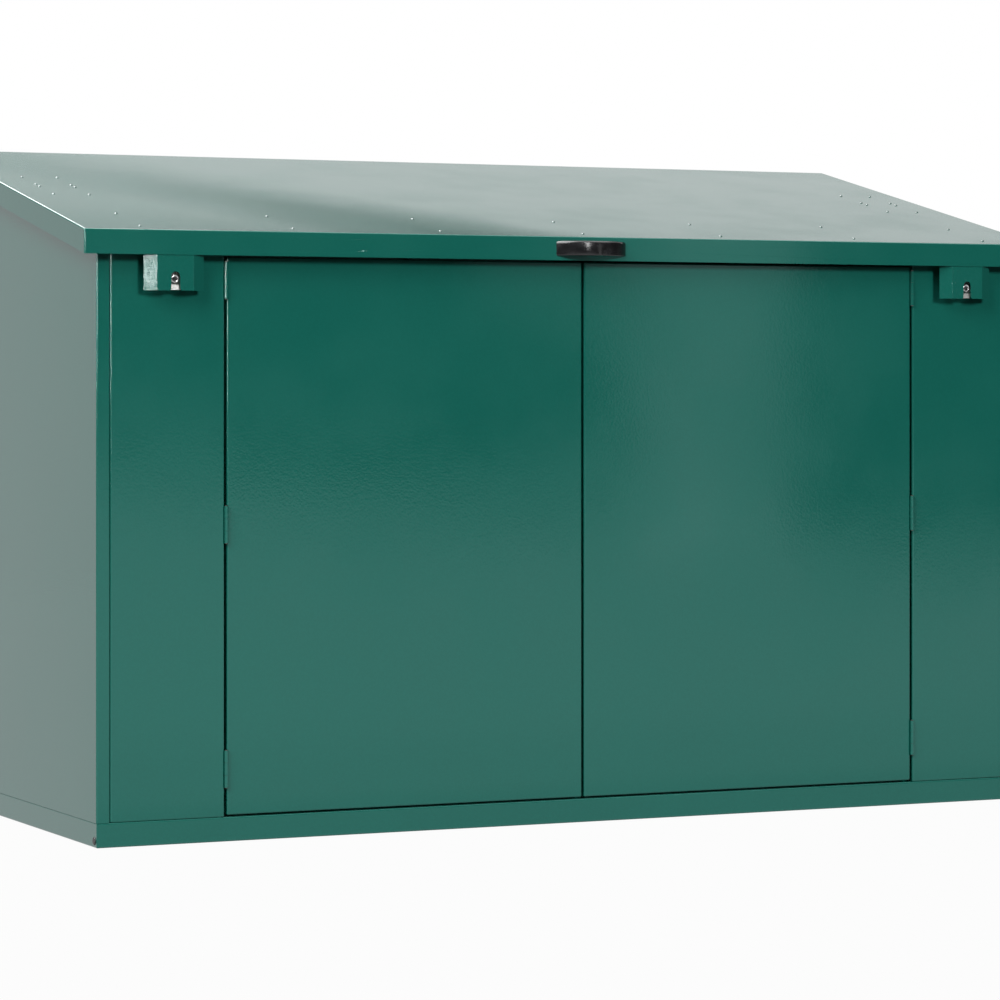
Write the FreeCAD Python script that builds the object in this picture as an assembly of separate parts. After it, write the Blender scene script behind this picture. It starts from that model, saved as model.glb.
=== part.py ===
import FreeCAD, Part
import math
import os

# Low metal shed: folded sheet walls on a base frame, double front doors and a sloped lid hinged at the rear.
# Millimetres. X runs to the right seen from the front, Y to the rear, Z up from the ground.
# The origin is the middle of the base, on the ground.

Vector = FreeCAD.Vector

# Body sheets
body_width = 1960.0
body_depth = 854.0
base_height = 45.0
sheet = 1.5
bend_radius = 3.0
panel_return = 25.0
corner_strip = 26.0
seam_gap = 0.5
jamb_setback = 247.0

# Base frame
rail_bottom_flange = 80.0
door_stop_gap = 2.0
door_stop_height = 20.0
anchor_hole_radius = 5.5
anchor_inset = 60.0
plug_radius = 7.5
plug_thickness = 2.0
plug_stem_radius = 4.5
plug_stem_length = 6.0
plug_setback = 11.0
plug_height = 12.5

# Floor sheets
floor_inset = 6.0
floor_rib_count = 4
floor_rib_width = 40.0
floor_rib_slope = 8.0
floor_rib_height = 5.0

# Doors
hinge_gap = 5.2
meeting_gap = 4.8
door_bottom_gap = 3.5
door_top_gap = 1.6
stiffener_width = 50.0
stiffener_flange = 20.0
stiffener_depth = 18.0
stiffener_end_gap = 30.0

# Door hinges
door_hinge_count = 3
door_hinge_length = 68.0
door_hinge_start = 51.0
door_hinge_pitch = 448.0
door_knuckle_radius = 4.0
door_hinge_proud = 3.0
door_pin_radius = 2.0
door_leaf_thickness = 2.0
door_leaf_depth = 20.0
pin_clearance = 0.06
knuckle_gap = 0.5
knuckle_clearance = 0.5
pin_head_overlap = 1.2
pin_head_height = 1.2

# Lid
lid_front_height = 1119.0
lid_rear_height = 1308.0
lid_skirt = 45.0
lid_front_overhang = 35.0
lid_side_overhang = 35.0
lid_clearance = 6.0
rear_notch_gap = 4.0

# Lid stiffener behind the front edge
front_rivet_row = 36.0
second_rivet_row = 169.0
stiffener_rivet_inset = 43.0
stiffener_rivet_columns = 7
lid_stiffener_flange = 24.0
lid_stiffener_depth = 25.0
lid_stiffener_end_gap = 40.0
front_panel_clearance = 6.0

# Lid hinges
lid_hinge_count = 4
lid_hinge_length = 90.0
lid_hinge_pitch = 520.0
lid_knuckle_radius = 5.0
lid_hinge_standoff = 5.5
lid_pin_radius = 2.5
lid_leaf_thickness = 2.5
lid_leaf_height = 36.0
lid_hinge_gap = 2.0
lid_hinge_rivet_inset = 15.0
lid_hinge_rivet_drop = 24.0

# Rivets and bolts
rivet_head_radius = 3.2
rivet_head_height = 2.2
rivet_shank_radius = 1.6
rivet_tail_radius = 2.6
rivet_tail_height = 1.5
shank_clearance = 0.05
wall_bolt_head_radius = 6.0
wall_bolt_head_height = 3.5
wall_bolt_shank_radius = 3.0
wall_bolt_tail_radius = 5.0
wall_bolt_tail_height = 5.0
wall_bolt_levels = 3
wall_bolt_end_gap = 120.0

# Lid arms that take the struts
arm_center = 67.0
arm_width = 95.0
arm_hat_width = 26.0
arm_hat_depth = 45.0
arm_setback = 481.0
arm_length = 220.0
arm_rivet_column = 35.5
arm_rivet_rows = (-98.5, -12.0, 12.0, 98.5)

# Gas struts
strut_plane = 40.0
strut_foot_setback = 54.0
strut_foot_drop = 92.0
strut_stud_drop = 34.0
ball_radius = 5.0
ball_clearance = 0.1
stud_neck_radius = 3.2
stud_neck_clearance = 1.0
stud_collar_radius = 7.0
stud_collar = 3.0
stud_thread_radius = 3.0
stud_nut_radius = 6.0
stud_nut_height = 5.0
stud_tip = 2.0
pivot_gap = 0.4
socket_radius = 8.0
socket_overrun = 8.0
socket_length = 14.0
tube_radius = 11.0
tube_wall = 1.7
tube_end = 3.0
gland_length = 15.0
rod_radius = 5.0
rod_clearance = 0.06
piston_clearance = 0.3
piston_length = 10.0
piston_start = 8.0
closed_rod = 14.0
foot_height = 60.0
foot_hat_width = 30.0
foot_flange = 20.0
foot_depth = 24.0

# Lock guards and locks
lock_setback = 140.0
guard_face_width = 70.0
guard_wing_width = 23.0
guard_wing_depth = 11.0
guard_drop = 65.0
guard_overlap = 25.0
key_slot_width = 17.0
key_slot_height = 34.5
key_slot_flare = 3.0
case_width = 32.0
case_depth = 18.0
case_bottom_gap = 1.5
case_height = 42.0
case_round = 2.0
lock_axis_height = 21.5
barrel_radius = 7.0
barrel_clearance = 0.05
barrel_proud = 12.0
barrel_depth = 8.0
barrel_rim = 1.6
barrel_recess = 1.2
key_width = 1.8
key_length = 8.0
key_depth = 6.0
skirt_block_width = 18.0
skirt_block_depth = 9.0
skirt_block_height = 9.0
cam_thickness = 3.0
cam_gap = 0.5
cam_ring = 2.5
cam_width = 10.0
cam_length = 27.0
keeper_inner = 14.0
keeper_outer = 32.0
keeper_thickness = 2.5
keeper_gap = 2.5
keeper_foot = 12.0
keeper_back_gap = 0.6

# Handle
handle_length = 147.0
handle_height = 28.0
handle_projection = 32.0
handle_grip_gap = 20.0
handle_foot = 19.0
handle_drop = 8.0
handle_round = 4.0
handle_screw_inset = 11.0
handle_screw_radius = 2.5
handle_screw_bite = 6.0
handle_screw_head_radius = 5.0
handle_screw_head_height = 3.0

# Lid buffers
buffer_width = 14.0
buffer_length = 40.0
buffer_inset = 4.0
buffer_gap = 0.3
buffer_places = (126.0, 706.0)

# Planes and heights that follow from the sizes
left = -body_width / 2
right = body_width / 2
front = -body_depth / 2
rear = body_depth / 2
rail_top_flange = panel_return + door_stop_gap
lid_front = front - lid_front_overhang
lid_angle = math.atan2(lid_rear_height - lid_front_height, rear - lid_front)
lid_sheet = sheet * math.cos(lid_angle)
skirt_front_bottom = lid_front_height - lid_skirt
skirt_rear_bottom = lid_rear_height - lid_skirt
rear_panel_top = skirt_rear_bottom - lid_hinge_gap
front_jamb = left + jamb_setback
door_left = front_jamb + hinge_gap
door_bottom = base_height + door_bottom_gap
door_top = skirt_front_bottom - door_top_gap
door_axis_x = front_jamb + hinge_gap / 2
door_axis_y = front - door_hinge_proud
lid_axis_y = rear + lid_hinge_standoff
lid_axis_z = skirt_rear_bottom - lid_hinge_gap / 2
floor_start = left + floor_inset
floor_end = -seam_gap / 2
floor_rib_pitch = (floor_end - floor_start) / floor_rib_count
anchor_x = abs(floor_start + floor_rib_pitch)
anchor_y = body_depth / 2 - anchor_inset
lock_x = left + lock_setback
guard_bottom = skirt_front_bottom - guard_drop
lock_z = guard_bottom + lock_axis_height
guard_front = lid_front + lid_sheet
strut_x = left + strut_plane
arm_web = left + arm_center - arm_hat_width / 2 - sheet
foot_y = rear - strut_foot_setback
foot_z = lid_axis_z - strut_foot_drop


def lid_height(y):
    """Height of the lid's upper surface at a depth y."""
    return lid_front_height + (y - lid_front) * math.tan(lid_angle)


def lid_point(x, along, below):
    """Point at a distance along the lid from its front edge and below its upper surface."""
    y = lid_front + along * math.cos(lid_angle) + below * math.sin(lid_angle)
    z = lid_front_height + along * math.sin(lid_angle) - below * math.cos(lid_angle)
    return Vector(x, y, z)


front_panel_top = lid_height(front) - sheet - lid_stiffener_depth - sheet - front_panel_clearance
stud_point = lid_point(strut_x, arm_setback, strut_stud_drop)
strut_run = stud_point.y - foot_y
strut_rise = stud_point.z - foot_z
strut_length = math.hypot(strut_run, strut_rise)
strut_tilt = math.degrees(math.atan2(-strut_run, strut_rise))


def block(x0, x1, y0, y1, z0, z1):
    """Box between two opposite corners."""
    return Part.makeBox(x1 - x0, y1 - y0, z1 - z0, Vector(x0, y0, z0))


def rod(radius, start, end):
    """Round bar between two points."""
    return Part.makeCylinder(radius, (end - start).Length, start, end - start)


def mirrored(shape):
    """The same shape on the other side of the middle plane."""
    return shape.mirror(Vector(0, 0, 0), Vector(1, 0, 0))


def solid_of(shape):
    """Solid with its faces turned outward."""
    if shape.Volume < 0:
        shape.reverse()
    return shape


def left_normal(start, end):
    """Unit vector to the left of a direction in the flat plane."""
    step = (end - start).normalize()
    return Vector(-step.y, step.x, 0)


def offset_path(points, distance):
    """Path moved to its left by a distance, with sharp corners."""
    moved = []
    last = len(points) - 1
    for index, point in enumerate(points):
        before = left_normal(points[max(index - 1, 0)], points[max(index, 1)])
        after = left_normal(points[min(index, last - 1)], points[min(index + 1, last)])
        moved.append(point + (before + after) * (distance / (1 + before.dot(after))))
    return moved


def rounded_path(points, radii, place):
    """Edges of a path whose corners are rounded, placed in the model."""
    edges = []
    start = points[0]
    for corner, before, after, radius in zip(points[1:-1], points[:-2], points[2:], radii):
        incoming = (corner - before).normalize()
        outgoing = (after - corner).normalize()
        half_turn = incoming.getAngle(outgoing) / 2
        reach = radius * math.tan(half_turn)
        bisector = (outgoing - incoming).normalize()
        first = corner - incoming * reach
        middle = corner + bisector * (radius / math.cos(half_turn) - radius)
        second = corner + outgoing * reach
        edges.append(Part.makeLine(place(start), place(first)))
        edges.append(Part.Arc(place(first), place(middle), place(second)).toShape())
        start = second
    edges.append(Part.makeLine(place(start), place(points[-1])))
    return edges


def folded_strip(path, place, pull):
    """Sheet strip folded along a flat path, its thickness on the path's left, pulled along a vector."""
    near = [Vector(u, v, 0) for u, v in path]
    far = offset_path(near, sheet)
    near_radii = []
    far_radii = []
    for before, corner, after in zip(near[:-2], near[1:-1], near[2:]):
        turns_left = (corner - before).cross(after - corner).z > 0
        near_radii.append(bend_radius if turns_left else bend_radius - sheet)
        far_radii.append(bend_radius - sheet if turns_left else bend_radius)
    edges = rounded_path(near, near_radii, place)
    edges += rounded_path(far, far_radii, place)
    edges.append(Part.makeLine(place(near[0]), place(far[0])))
    edges.append(Part.makeLine(place(near[-1]), place(far[-1])))
    wire = Part.Wire(Part.__sortEdges__(edges))
    return solid_of(Part.Face(wire).extrude(pull))


def rounded_prism(outline, pull, radius, fold_axis):
    """Prism on a flat outline with rounded folds; a fold axis limits the rounding to edges along it."""
    prism = solid_of(outline.extrude(pull))
    plane_point = outline.Vertexes[0].Point
    normal = outline.normalAt(0, 0)
    folds = []
    for edge in prism.Edges:
        ends = [vertex.Point for vertex in edge.Vertexes]
        on_sheet = min(abs((end - plane_point).dot(normal)) for end in ends) < 1e-6
        along = (ends[1] - ends[0]).normalize()
        wanted = fold_axis is None or abs(along.dot(fold_axis)) > 0.99
        if on_sheet and wanted:
            folds.append(edge)
    return prism.makeFillet(radius, folds)


def folded_tray(corners, inward, depth, fold_axis=None):
    """Sheet with returns folded inward on every side."""
    outline = Part.Face(Part.makePolygon(corners + corners[:1]))
    outer = rounded_prism(outline, inward * depth, bend_radius, fold_axis)
    hollow = outline.makeOffset2D(-sheet, 2)
    hollow.translate(inward * sheet)
    inner = rounded_prism(hollow, inward * depth, bend_radius - sheet, fold_axis)
    return outer.cut(inner)


def fastener(head_radius, head_height, shank_radius, grip, tail_radius, tail_height):
    """Domed rivet or bolt along Z, with its head on the plane z = 0 and its grip below."""
    ball = (head_radius ** 2 + head_height ** 2) / (2 * head_height)
    dome = Part.makeSphere(ball, Vector(0, 0, head_height - ball))
    head = dome.common(Part.makeCylinder(head_radius, head_height, Vector(0, 0, 0)))
    shank = Part.makeCylinder(shank_radius, grip, Vector(0, 0, -grip))
    tail = Part.makeCylinder(tail_radius, tail_height, Vector(0, 0, -grip - tail_height))
    return head.fuse([shank, tail]).removeSplitter()


def rivet(grip):
    """Domed rivet of the common size."""
    return fastener(rivet_head_radius, rivet_head_height, rivet_shank_radius, grip,
                    rivet_tail_radius, rivet_tail_height)


def turned_to(shape, direction, point):
    """Copy of a shape made along Z, turned to a direction and moved to a point."""
    copy = shape.copy()
    copy.Placement = FreeCAD.Placement(point, FreeCAD.Rotation(Vector(0, 0, 1), direction))
    return copy


def bored(shape, holes):
    """Shape with a list of hole bars taken out."""
    return shape.cut(Part.makeCompound(holes)) if holes else shape


lid_up = Vector(0, -math.sin(lid_angle), math.cos(lid_angle))
lid_along = Vector(0, math.cos(lid_angle), math.sin(lid_angle))


# Base frame and floor


def anchor_holes():
    """Bars for the four ground anchors, between the outer ribs of the floor."""
    bars = []
    for x in (-anchor_x, anchor_x):
        for y in (-anchor_y, anchor_y):
            bars.append(rod(anchor_hole_radius, Vector(x, y, -sheet), Vector(x, y, base_height)))
    return bars


def rail_zone(corners):
    """Upright prism that cuts a rail to its mitred ends."""
    face = Part.Face(Part.makePolygon(corners + corners[:1]))
    height = base_height + door_stop_height + sheet
    return solid_of(face.extrude(Vector(0, 0, height)))


def cross_zone(edge, inward):
    """Mitre zone of a front or rear rail."""
    reach = rail_bottom_flange + sheet
    return rail_zone([Vector(left, edge, 0), Vector(right, edge, 0),
                      Vector(right - reach, edge + inward * reach, 0),
                      Vector(left + reach, edge + inward * reach, 0)])


def plain_rail_path():
    """Section of a rail, from the inner end of its upper flange to that of its lower one."""
    return [(rail_top_flange, base_height), (0, base_height), (0, 0), (rail_bottom_flange, 0)]


def base_front_rail():
    """Front rail with the door stop folded up behind the doors."""
    path = [(rail_top_flange, base_height + door_stop_height)] + plain_rail_path()
    rail = folded_strip(path, lambda p: Vector(left, front + p.x, p.y), Vector(body_width, 0, 0))
    top = base_height + door_stop_height + sheet
    behind = front + rail_top_flange + sheet
    left_end = block(left, front_jamb, front, behind, base_height, top)
    rail = rail.cut(left_end).cut(mirrored(left_end))
    return bored(rail.common(cross_zone(front, 1)), anchor_holes())


def base_rear_rail():
    """Rear rail."""
    rail = folded_strip(plain_rail_path(), lambda p: Vector(left, rear - p.x, p.y), Vector(body_width, 0, 0))
    return bored(rail.common(cross_zone(rear, -1)), anchor_holes())


def plug_points():
    """Places of the corner plugs on the left rail."""
    return [Vector(left, y, plug_height) for y in (front + plug_setback, rear - plug_setback)]


def base_left_rail():
    """Side rail with the holes of its corner plugs."""
    rail = folded_strip(plain_rail_path(), lambda p: Vector(left + p.x, front, p.y), Vector(0, body_depth, 0))
    reach = rail_bottom_flange + sheet
    zone = rail_zone([Vector(left, front, 0), Vector(left, rear, 0),
                      Vector(left + reach, rear - reach, 0), Vector(left + reach, front + reach, 0)])
    step = Vector(2 * sheet, 0, 0)
    holes = [rod(plug_stem_radius + shank_clearance, point - step, point + step) for point in plug_points()]
    return bored(rail.common(zone), holes)


def corner_plugs():
    """Domed plugs in the ends of both side rails."""
    plug = fastener(plug_radius, plug_thickness, plug_stem_radius, sheet, plug_stem_radius,
                    plug_stem_length - sheet)
    plugs = [turned_to(plug, Vector(-1, 0, 0), point) for point in plug_points()]
    return Part.makeCompound(plugs + [mirrored(item) for item in plugs])


def floor_left_panel():
    """Left floor sheet with pressed ribs running from front to rear."""
    path = [(floor_start, 0)]
    for index in range(floor_rib_count):
        middle = floor_start + floor_rib_pitch * (index + 0.5)
        half = floor_rib_width / 2
        path.append((middle - half, 0))
        path.append((middle - half + floor_rib_slope, floor_rib_height))
        path.append((middle + half - floor_rib_slope, floor_rib_height))
        path.append((middle + half, 0))
    path.append((floor_end, 0))
    length = body_depth - 2 * floor_inset
    panel = folded_strip(path, lambda p: Vector(p.x, front + floor_inset, sheet + p.y), Vector(0, length, 0))
    return bored(panel, anchor_holes())


# Walls


def wall_bolt_heights(top):
    """Heights of the bolts that join two wall returns."""
    low = base_height + wall_bolt_end_gap
    step = (top - wall_bolt_end_gap - low) / (wall_bolt_levels - 1)
    return [low + step * index for index in range(wall_bolt_levels)]


def wall_joints():
    """Places of the joint bolts: x of the seam, y and z."""
    seam = left + corner_strip + seam_gap / 2
    inset = panel_return / 2 + bend_radius / 2
    joints = [(seam, front + inset, z) for z in wall_bolt_heights(front_panel_top)]
    joints += [(seam, rear - inset, z) for z in wall_bolt_heights(rear_panel_top)]
    joints += [(0, rear - inset, z) for z in wall_bolt_heights(rear_panel_top)]
    return joints


def wall_bolt_holes():
    """Bars for the joint bolts of the left half and the middle seam."""
    reach = Vector(2 * sheet + seam_gap, 0, 0)
    radius = wall_bolt_shank_radius + shank_clearance
    return [rod(radius, Vector(*joint) - reach, Vector(*joint) + reach) for joint in wall_joints()]


def wall_bolts():
    """Bolts through the wall returns, heads toward the middle of the shed."""
    grip = 2 * sheet + seam_gap
    bolt = fastener(wall_bolt_head_radius, wall_bolt_head_height, wall_bolt_shank_radius, grip,
                    wall_bolt_tail_radius, wall_bolt_tail_height)
    bolts = []
    for x, y, z in wall_joints():
        placed = turned_to(bolt, Vector(1, 0, 0), Vector(x + grip / 2, y, z))
        bolts.append(placed)
        if x < 0:
            bolts.append(mirrored(placed))
    return Part.makeCompound(bolts)


def side_top(y):
    """Height of the side panel's upper edge."""
    return lid_height(y) - sheet - lid_clearance


def joint_return(y0, y1, top_limit):
    """Second return of the side panel, behind the corner strip."""
    x1 = left + corner_strip
    strip = block(x1 - sheet, x1, y0, y1, base_height, lid_rear_height)
    side = [Vector(x1 - sheet, front, base_height), Vector(x1 - sheet, rear, base_height),
            Vector(x1 - sheet, rear, top_limit(rear)), Vector(x1 - sheet, front, top_limit(front))]
    below_top = solid_of(Part.Face(Part.makePolygon(side + side[:1])).extrude(Vector(sheet, 0, 0)))
    return strip.common(below_top)


def upright_edges(shape, x, y):
    """Edges of a shape that stand upright at a place."""
    found = []
    for edge in shape.Edges:
        if all(math.hypot(v.X - x, v.Y - y) < 1e-4 for v in edge.Vertexes):
            found.append(edge)
    return found


def left_side_panel():
    """Side wall: sheet with returns, corner strips at front and rear and a sloped top."""
    corners = [Vector(left, front, base_height), Vector(left, rear, base_height),
               Vector(left, rear, side_top(rear)), Vector(left, front, side_top(front))]
    panel = folded_tray(corners, Vector(1, 0, 0), corner_strip, Vector(0, 0, 1))
    panel = panel.fuse([joint_return(front, front + panel_return, side_top),
                        joint_return(rear - panel_return, rear, side_top)]).removeSplitter()
    edge_x = left + corner_strip
    panel = panel.makeFillet(bend_radius, upright_edges(panel, edge_x, front))
    panel = panel.makeFillet(bend_radius, upright_edges(panel, edge_x, rear))
    notch = sheet + rear_notch_gap
    panel = panel.cut(block(left, edge_x, rear - notch, rear, rear_panel_top, lid_rear_height))
    return bored(panel, wall_bolt_holes())


def upright_tray(x0, x1, y, z0, z1, inward):
    """Upright wall or door sheet with returns folded along y."""
    corners = [Vector(x0, y, z0), Vector(x1, y, z0), Vector(x1, y, z1), Vector(x0, y, z1)]
    return folded_tray(corners, Vector(0, inward, 0), panel_return)


def front_left_panel():
    """Fixed front panel between the corner strip and the door."""
    start = left + corner_strip + seam_gap
    panel = upright_tray(start, front_jamb, front, base_height, front_panel_top, 1)
    return bored(panel, wall_bolt_holes())


def rear_left_panel():
    """Left half of the rear wall, with the rivet holes of the lid hinges."""
    start = left + corner_strip + seam_gap
    panel = upright_tray(start, -seam_gap / 2, rear, base_height, rear_panel_top, -1)
    return bored(panel, wall_bolt_holes() + lid_hinge_rivet_holes(-1))


# Hinges


def knuckle_spans(length):
    """Start and end of the three knuckles of a hinge."""
    third = (length - 2 * knuckle_gap) / 3
    return [(index * (third + knuckle_gap), index * (third + knuckle_gap) + third) for index in range(3)]


def hinge_leaf(plate, length, radius, pin, middle):
    """Hinge leaf on a plate along Z: with the middle knuckle, or with the two end ones."""
    spans = knuckle_spans(length)
    own = [spans[1]] if middle else [spans[0], spans[2]]
    other = [spans[0], spans[2]] if middle else [spans[1]]
    wide = radius + knuckle_clearance
    room = [rod(wide, Vector(0, 0, start - knuckle_gap), Vector(0, 0, end + knuckle_gap))
            for start, end in other]
    knuckles = [rod(radius, Vector(0, 0, start), Vector(0, 0, end)) for start, end in own]
    bore = rod(pin + pin_clearance, Vector(0, 0, -1), Vector(0, 0, length + 1))
    return bored(plate, room).fuse(knuckles).cut(bore).removeSplitter()


def hinge_pin(length, pin):
    """Hinge pin with a flat head at each end."""
    shaft = rod(pin, Vector(0, 0, 0), Vector(0, 0, length))
    head = rod(pin + pin_head_overlap, Vector(0, 0, -pin_head_height), Vector(0, 0, 0))
    top = head.copy()
    top.translate(Vector(0, 0, length + pin_head_height))
    return shaft.fuse([head, top]).removeSplitter()


def door_hinge_set(shape):
    """A hinge piece repeated at each hinge of the left door."""
    pieces = []
    for index in range(door_hinge_count):
        copy = shape.copy()
        low = door_bottom + door_hinge_start + index * door_hinge_pitch
        copy.translate(Vector(door_axis_x, door_axis_y, low))
        pieces.append(copy)
    return Part.makeCompound(pieces)


def door_leaf(inner, middle):
    """Leaf of a door hinge whose plate lies against a face at a distance from the axis."""
    start = min(inner, inner - math.copysign(door_leaf_thickness, inner))
    depth = door_hinge_proud + door_leaf_depth
    plate = block(start, start + door_leaf_thickness, 0, depth, 0, door_hinge_length)
    return hinge_leaf(plate, door_hinge_length, door_knuckle_radius, door_pin_radius, middle)


def left_door_frame_leaves():
    """Hinge leaves on the left jamb."""
    return door_hinge_set(door_leaf(-hinge_gap / 2, False))


def left_door_hinge_leaves():
    """Hinge leaves on the left door."""
    return door_hinge_set(door_leaf(hinge_gap / 2, True))


def left_door_hinge_pins():
    """Pins of the left door's hinges."""
    return door_hinge_set(hinge_pin(door_hinge_length, door_pin_radius))


def lid_hinge_starts():
    """Left ends of the lid hinges."""
    first = -lid_hinge_pitch * (lid_hinge_count - 1) / 2 - lid_hinge_length / 2
    return [first + index * lid_hinge_pitch for index in range(lid_hinge_count)]


def lid_hinge_set(shape):
    """A hinge piece made along Z, laid along X and repeated at each lid hinge."""
    pieces = []
    for start in lid_hinge_starts():
        copy = shape.copy()
        turn = FreeCAD.Rotation(Vector(1, 1, 1), 120)
        copy.Placement = FreeCAD.Placement(Vector(start, lid_axis_y, lid_axis_z), turn)
        pieces.append(copy)
    return Part.makeCompound(pieces)


def lid_hinge_rivet_points(side):
    """Rivet places on the lid hinge leaves: below the axis for side -1, above for side 1."""
    points = []
    for start in lid_hinge_starts():
        for offset in (lid_hinge_rivet_inset, lid_hinge_length - lid_hinge_rivet_inset):
            z = lid_axis_z + side * lid_hinge_rivet_drop
            points.append(Vector(start + offset, rear + lid_leaf_thickness, z))
    return points


def lid_hinge_rivet_holes(side):
    """Bars for the hinge rivets."""
    reach = Vector(0, lid_leaf_thickness + 2 * sheet, 0)
    radius = rivet_shank_radius + shank_clearance
    return [rod(radius, point - reach, point + reach) for point in lid_hinge_rivet_points(side)]


def lid_hinge_rivets(side, backing):
    """Rivets through the hinge leaves and the sheet behind them."""
    item = rivet(lid_leaf_thickness + backing)
    points = lid_hinge_rivet_points(side)
    return Part.makeCompound([turned_to(item, Vector(0, 1, 0), point) for point in points])


def lid_hinge_leaves(side, middle):
    """Leaves of the lid hinges: on the rear wall for side -1, on the lid for side 1."""
    low = min(0, side * lid_leaf_height)
    plate = block(-lid_hinge_standoff, lid_leaf_thickness - lid_hinge_standoff, low, low + lid_leaf_height,
                  0, lid_hinge_length)
    leaf = hinge_leaf(plate, lid_hinge_length, lid_knuckle_radius, lid_pin_radius, middle)
    return bored(lid_hinge_set(leaf), lid_hinge_rivet_holes(side))


def lid_hinge_pins():
    """Pins of the lid hinges."""
    return lid_hinge_set(hinge_pin(lid_hinge_length, lid_pin_radius))


# Doors


def left_door_panel():
    """Left door: sheet with returns on every side."""
    return upright_tray(door_left, -meeting_gap / 2, front, door_bottom, door_top, 1)


def hat_path(width, flange, start, depth):
    """Hat section on a sheet whose inner face is at a start depth, centred on zero."""
    half = width / 2
    return [(-half - flange, start), (-half, start), (-half, start + depth),
            (half, start + depth), (half, start), (half + flange, start)]


def left_door_stiffener():
    """Upright hat-section stiffener inside the left door."""
    middle = (door_left - meeting_gap / 2) / 2
    low = door_bottom + stiffener_end_gap
    path = hat_path(stiffener_width, stiffener_flange, sheet, stiffener_depth)
    height = door_top - stiffener_end_gap - low
    return folded_strip(path, lambda p: Vector(middle + p.x, front + p.y, low), Vector(0, 0, height))


# Lid


def stiffener_rivet_points():
    """Rivets of the front stiffener as x and distance along the lid."""
    first = left + lid_stiffener_end_gap + stiffener_rivet_inset
    pitch = -2 * first / (stiffener_rivet_columns - 1)
    columns = [first + index * pitch for index in range(stiffener_rivet_columns)]
    return [(x, along) for along in (front_rivet_row, second_rivet_row) for x in columns]


def arm_rivet_points():
    """Rivets of the left lid arm as x and distance along the lid."""
    middle = left + arm_center
    columns = (middle - arm_rivet_column, middle + arm_rivet_column)
    return [(x, arm_setback + row) for x in columns for row in arm_rivet_rows]


def lid_rivet_holes(points):
    """Bars for rivets square to the lid."""
    radius = rivet_shank_radius + shank_clearance
    depth = 3 * sheet
    return [rod(radius, lid_point(x, along, -depth), lid_point(x, along, depth)) for x, along in points]


def lid_rivets(points):
    """Rivets through the lid and the sheet under it."""
    item = rivet(lid_sheet + sheet)
    return [turned_to(item, lid_up, lid_point(x, along, 0)) for x, along in points]


def handle_screw_points():
    """Screw places on the lid's front skirt."""
    offset = handle_length / 2 - handle_screw_inset
    z = lid_front_height - handle_drop - handle_height / 2
    return [Vector(x, lid_front, z) for x in (-offset, offset)]


def lid_panel():
    """Lid sheet with a skirt on every side."""
    side = right + lid_side_overhang
    corners = [Vector(-side, lid_front, lid_front_height), Vector(side, lid_front, lid_front_height),
               Vector(side, rear, lid_rear_height), Vector(-side, rear, lid_rear_height)]
    panel = folded_tray(corners, Vector(0, 0, -1), lid_skirt)
    arm_bars = lid_rivet_holes(arm_rivet_points())
    reach = Vector(0, 2 * sheet, 0)
    screw_bars = [rod(handle_screw_radius + shank_clearance, point - reach, point + reach)
                  for point in handle_screw_points()]
    bars = lid_rivet_holes(stiffener_rivet_points()) + arm_bars + [mirrored(bar) for bar in arm_bars]
    return bored(panel, bars + screw_bars + lid_hinge_rivet_holes(1))


def lid_front_stiffener():
    """Hat-section stiffener between the two rivet rows behind the lid's front edge."""
    middle = (front_rivet_row + second_rivet_row) / 2
    width = second_rivet_row - front_rivet_row - lid_stiffener_flange
    path = hat_path(width, lid_stiffener_flange, lid_sheet, lid_stiffener_depth)
    start = left + lid_stiffener_end_gap
    length = body_width - 2 * lid_stiffener_end_gap
    beam = folded_strip(path, lambda p: lid_point(start, middle + p.x, p.y), Vector(length, 0, 0))
    return bored(beam, lid_rivet_holes(stiffener_rivet_points()))


def left_lid_arm():
    """Hat-section arm under the lid whose outer web faces the strut."""
    flange = (arm_width - arm_hat_width) / 2
    path = hat_path(arm_hat_width, flange, lid_sheet, arm_hat_depth)
    low = arm_setback - arm_length / 2
    middle = left + arm_center
    arm = folded_strip(path, lambda p: lid_point(middle + p.x, low, p.y), lid_along * arm_length)
    return bored(arm, lid_rivet_holes(arm_rivet_points()))


def arm_rivets():
    """Rivets of both lid arms."""
    items = lid_rivets(arm_rivet_points())
    return Part.makeCompound(items + [mirrored(item) for item in items])


def lid_handle():
    """Bow handle on the lid's front skirt, with blind screw holes in its feet."""
    half = handle_length / 2
    inner = half - handle_foot
    top = lid_front_height - handle_drop
    low = top - handle_height
    outer_arc = Part.Arc(Vector(-half, lid_front, low), Vector(0, lid_front - handle_projection, low),
                         Vector(half, lid_front, low)).toShape()
    inner_arc = Part.Arc(Vector(-inner, lid_front, low), Vector(0, lid_front - handle_grip_gap, low),
                         Vector(inner, lid_front, low)).toShape()
    feet = [Part.makeLine(Vector(side * inner, lid_front, low), Vector(side * half, lid_front, low))
            for side in (-1, 1)]
    wire = Part.Wire(Part.__sortEdges__([outer_arc, inner_arc] + feet))
    bow = solid_of(Part.Face(wire).extrude(Vector(0, 0, handle_height)))
    outer_edges = [edge for edge in bow.Edges
                   if len(edge.Vertexes) == 2 and abs(abs(edge.Vertexes[0].X) - half) < 1e-6
                   and abs(abs(edge.Vertexes[1].X) - half) < 1e-6 and edge.Length > handle_length]
    bow = bow.makeFillet(handle_round, outer_edges)
    bars = [rod(handle_screw_radius + shank_clearance, point, point - Vector(0, handle_screw_bite, 0))
            for point in handle_screw_points()]
    return bored(bow, bars)


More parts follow.
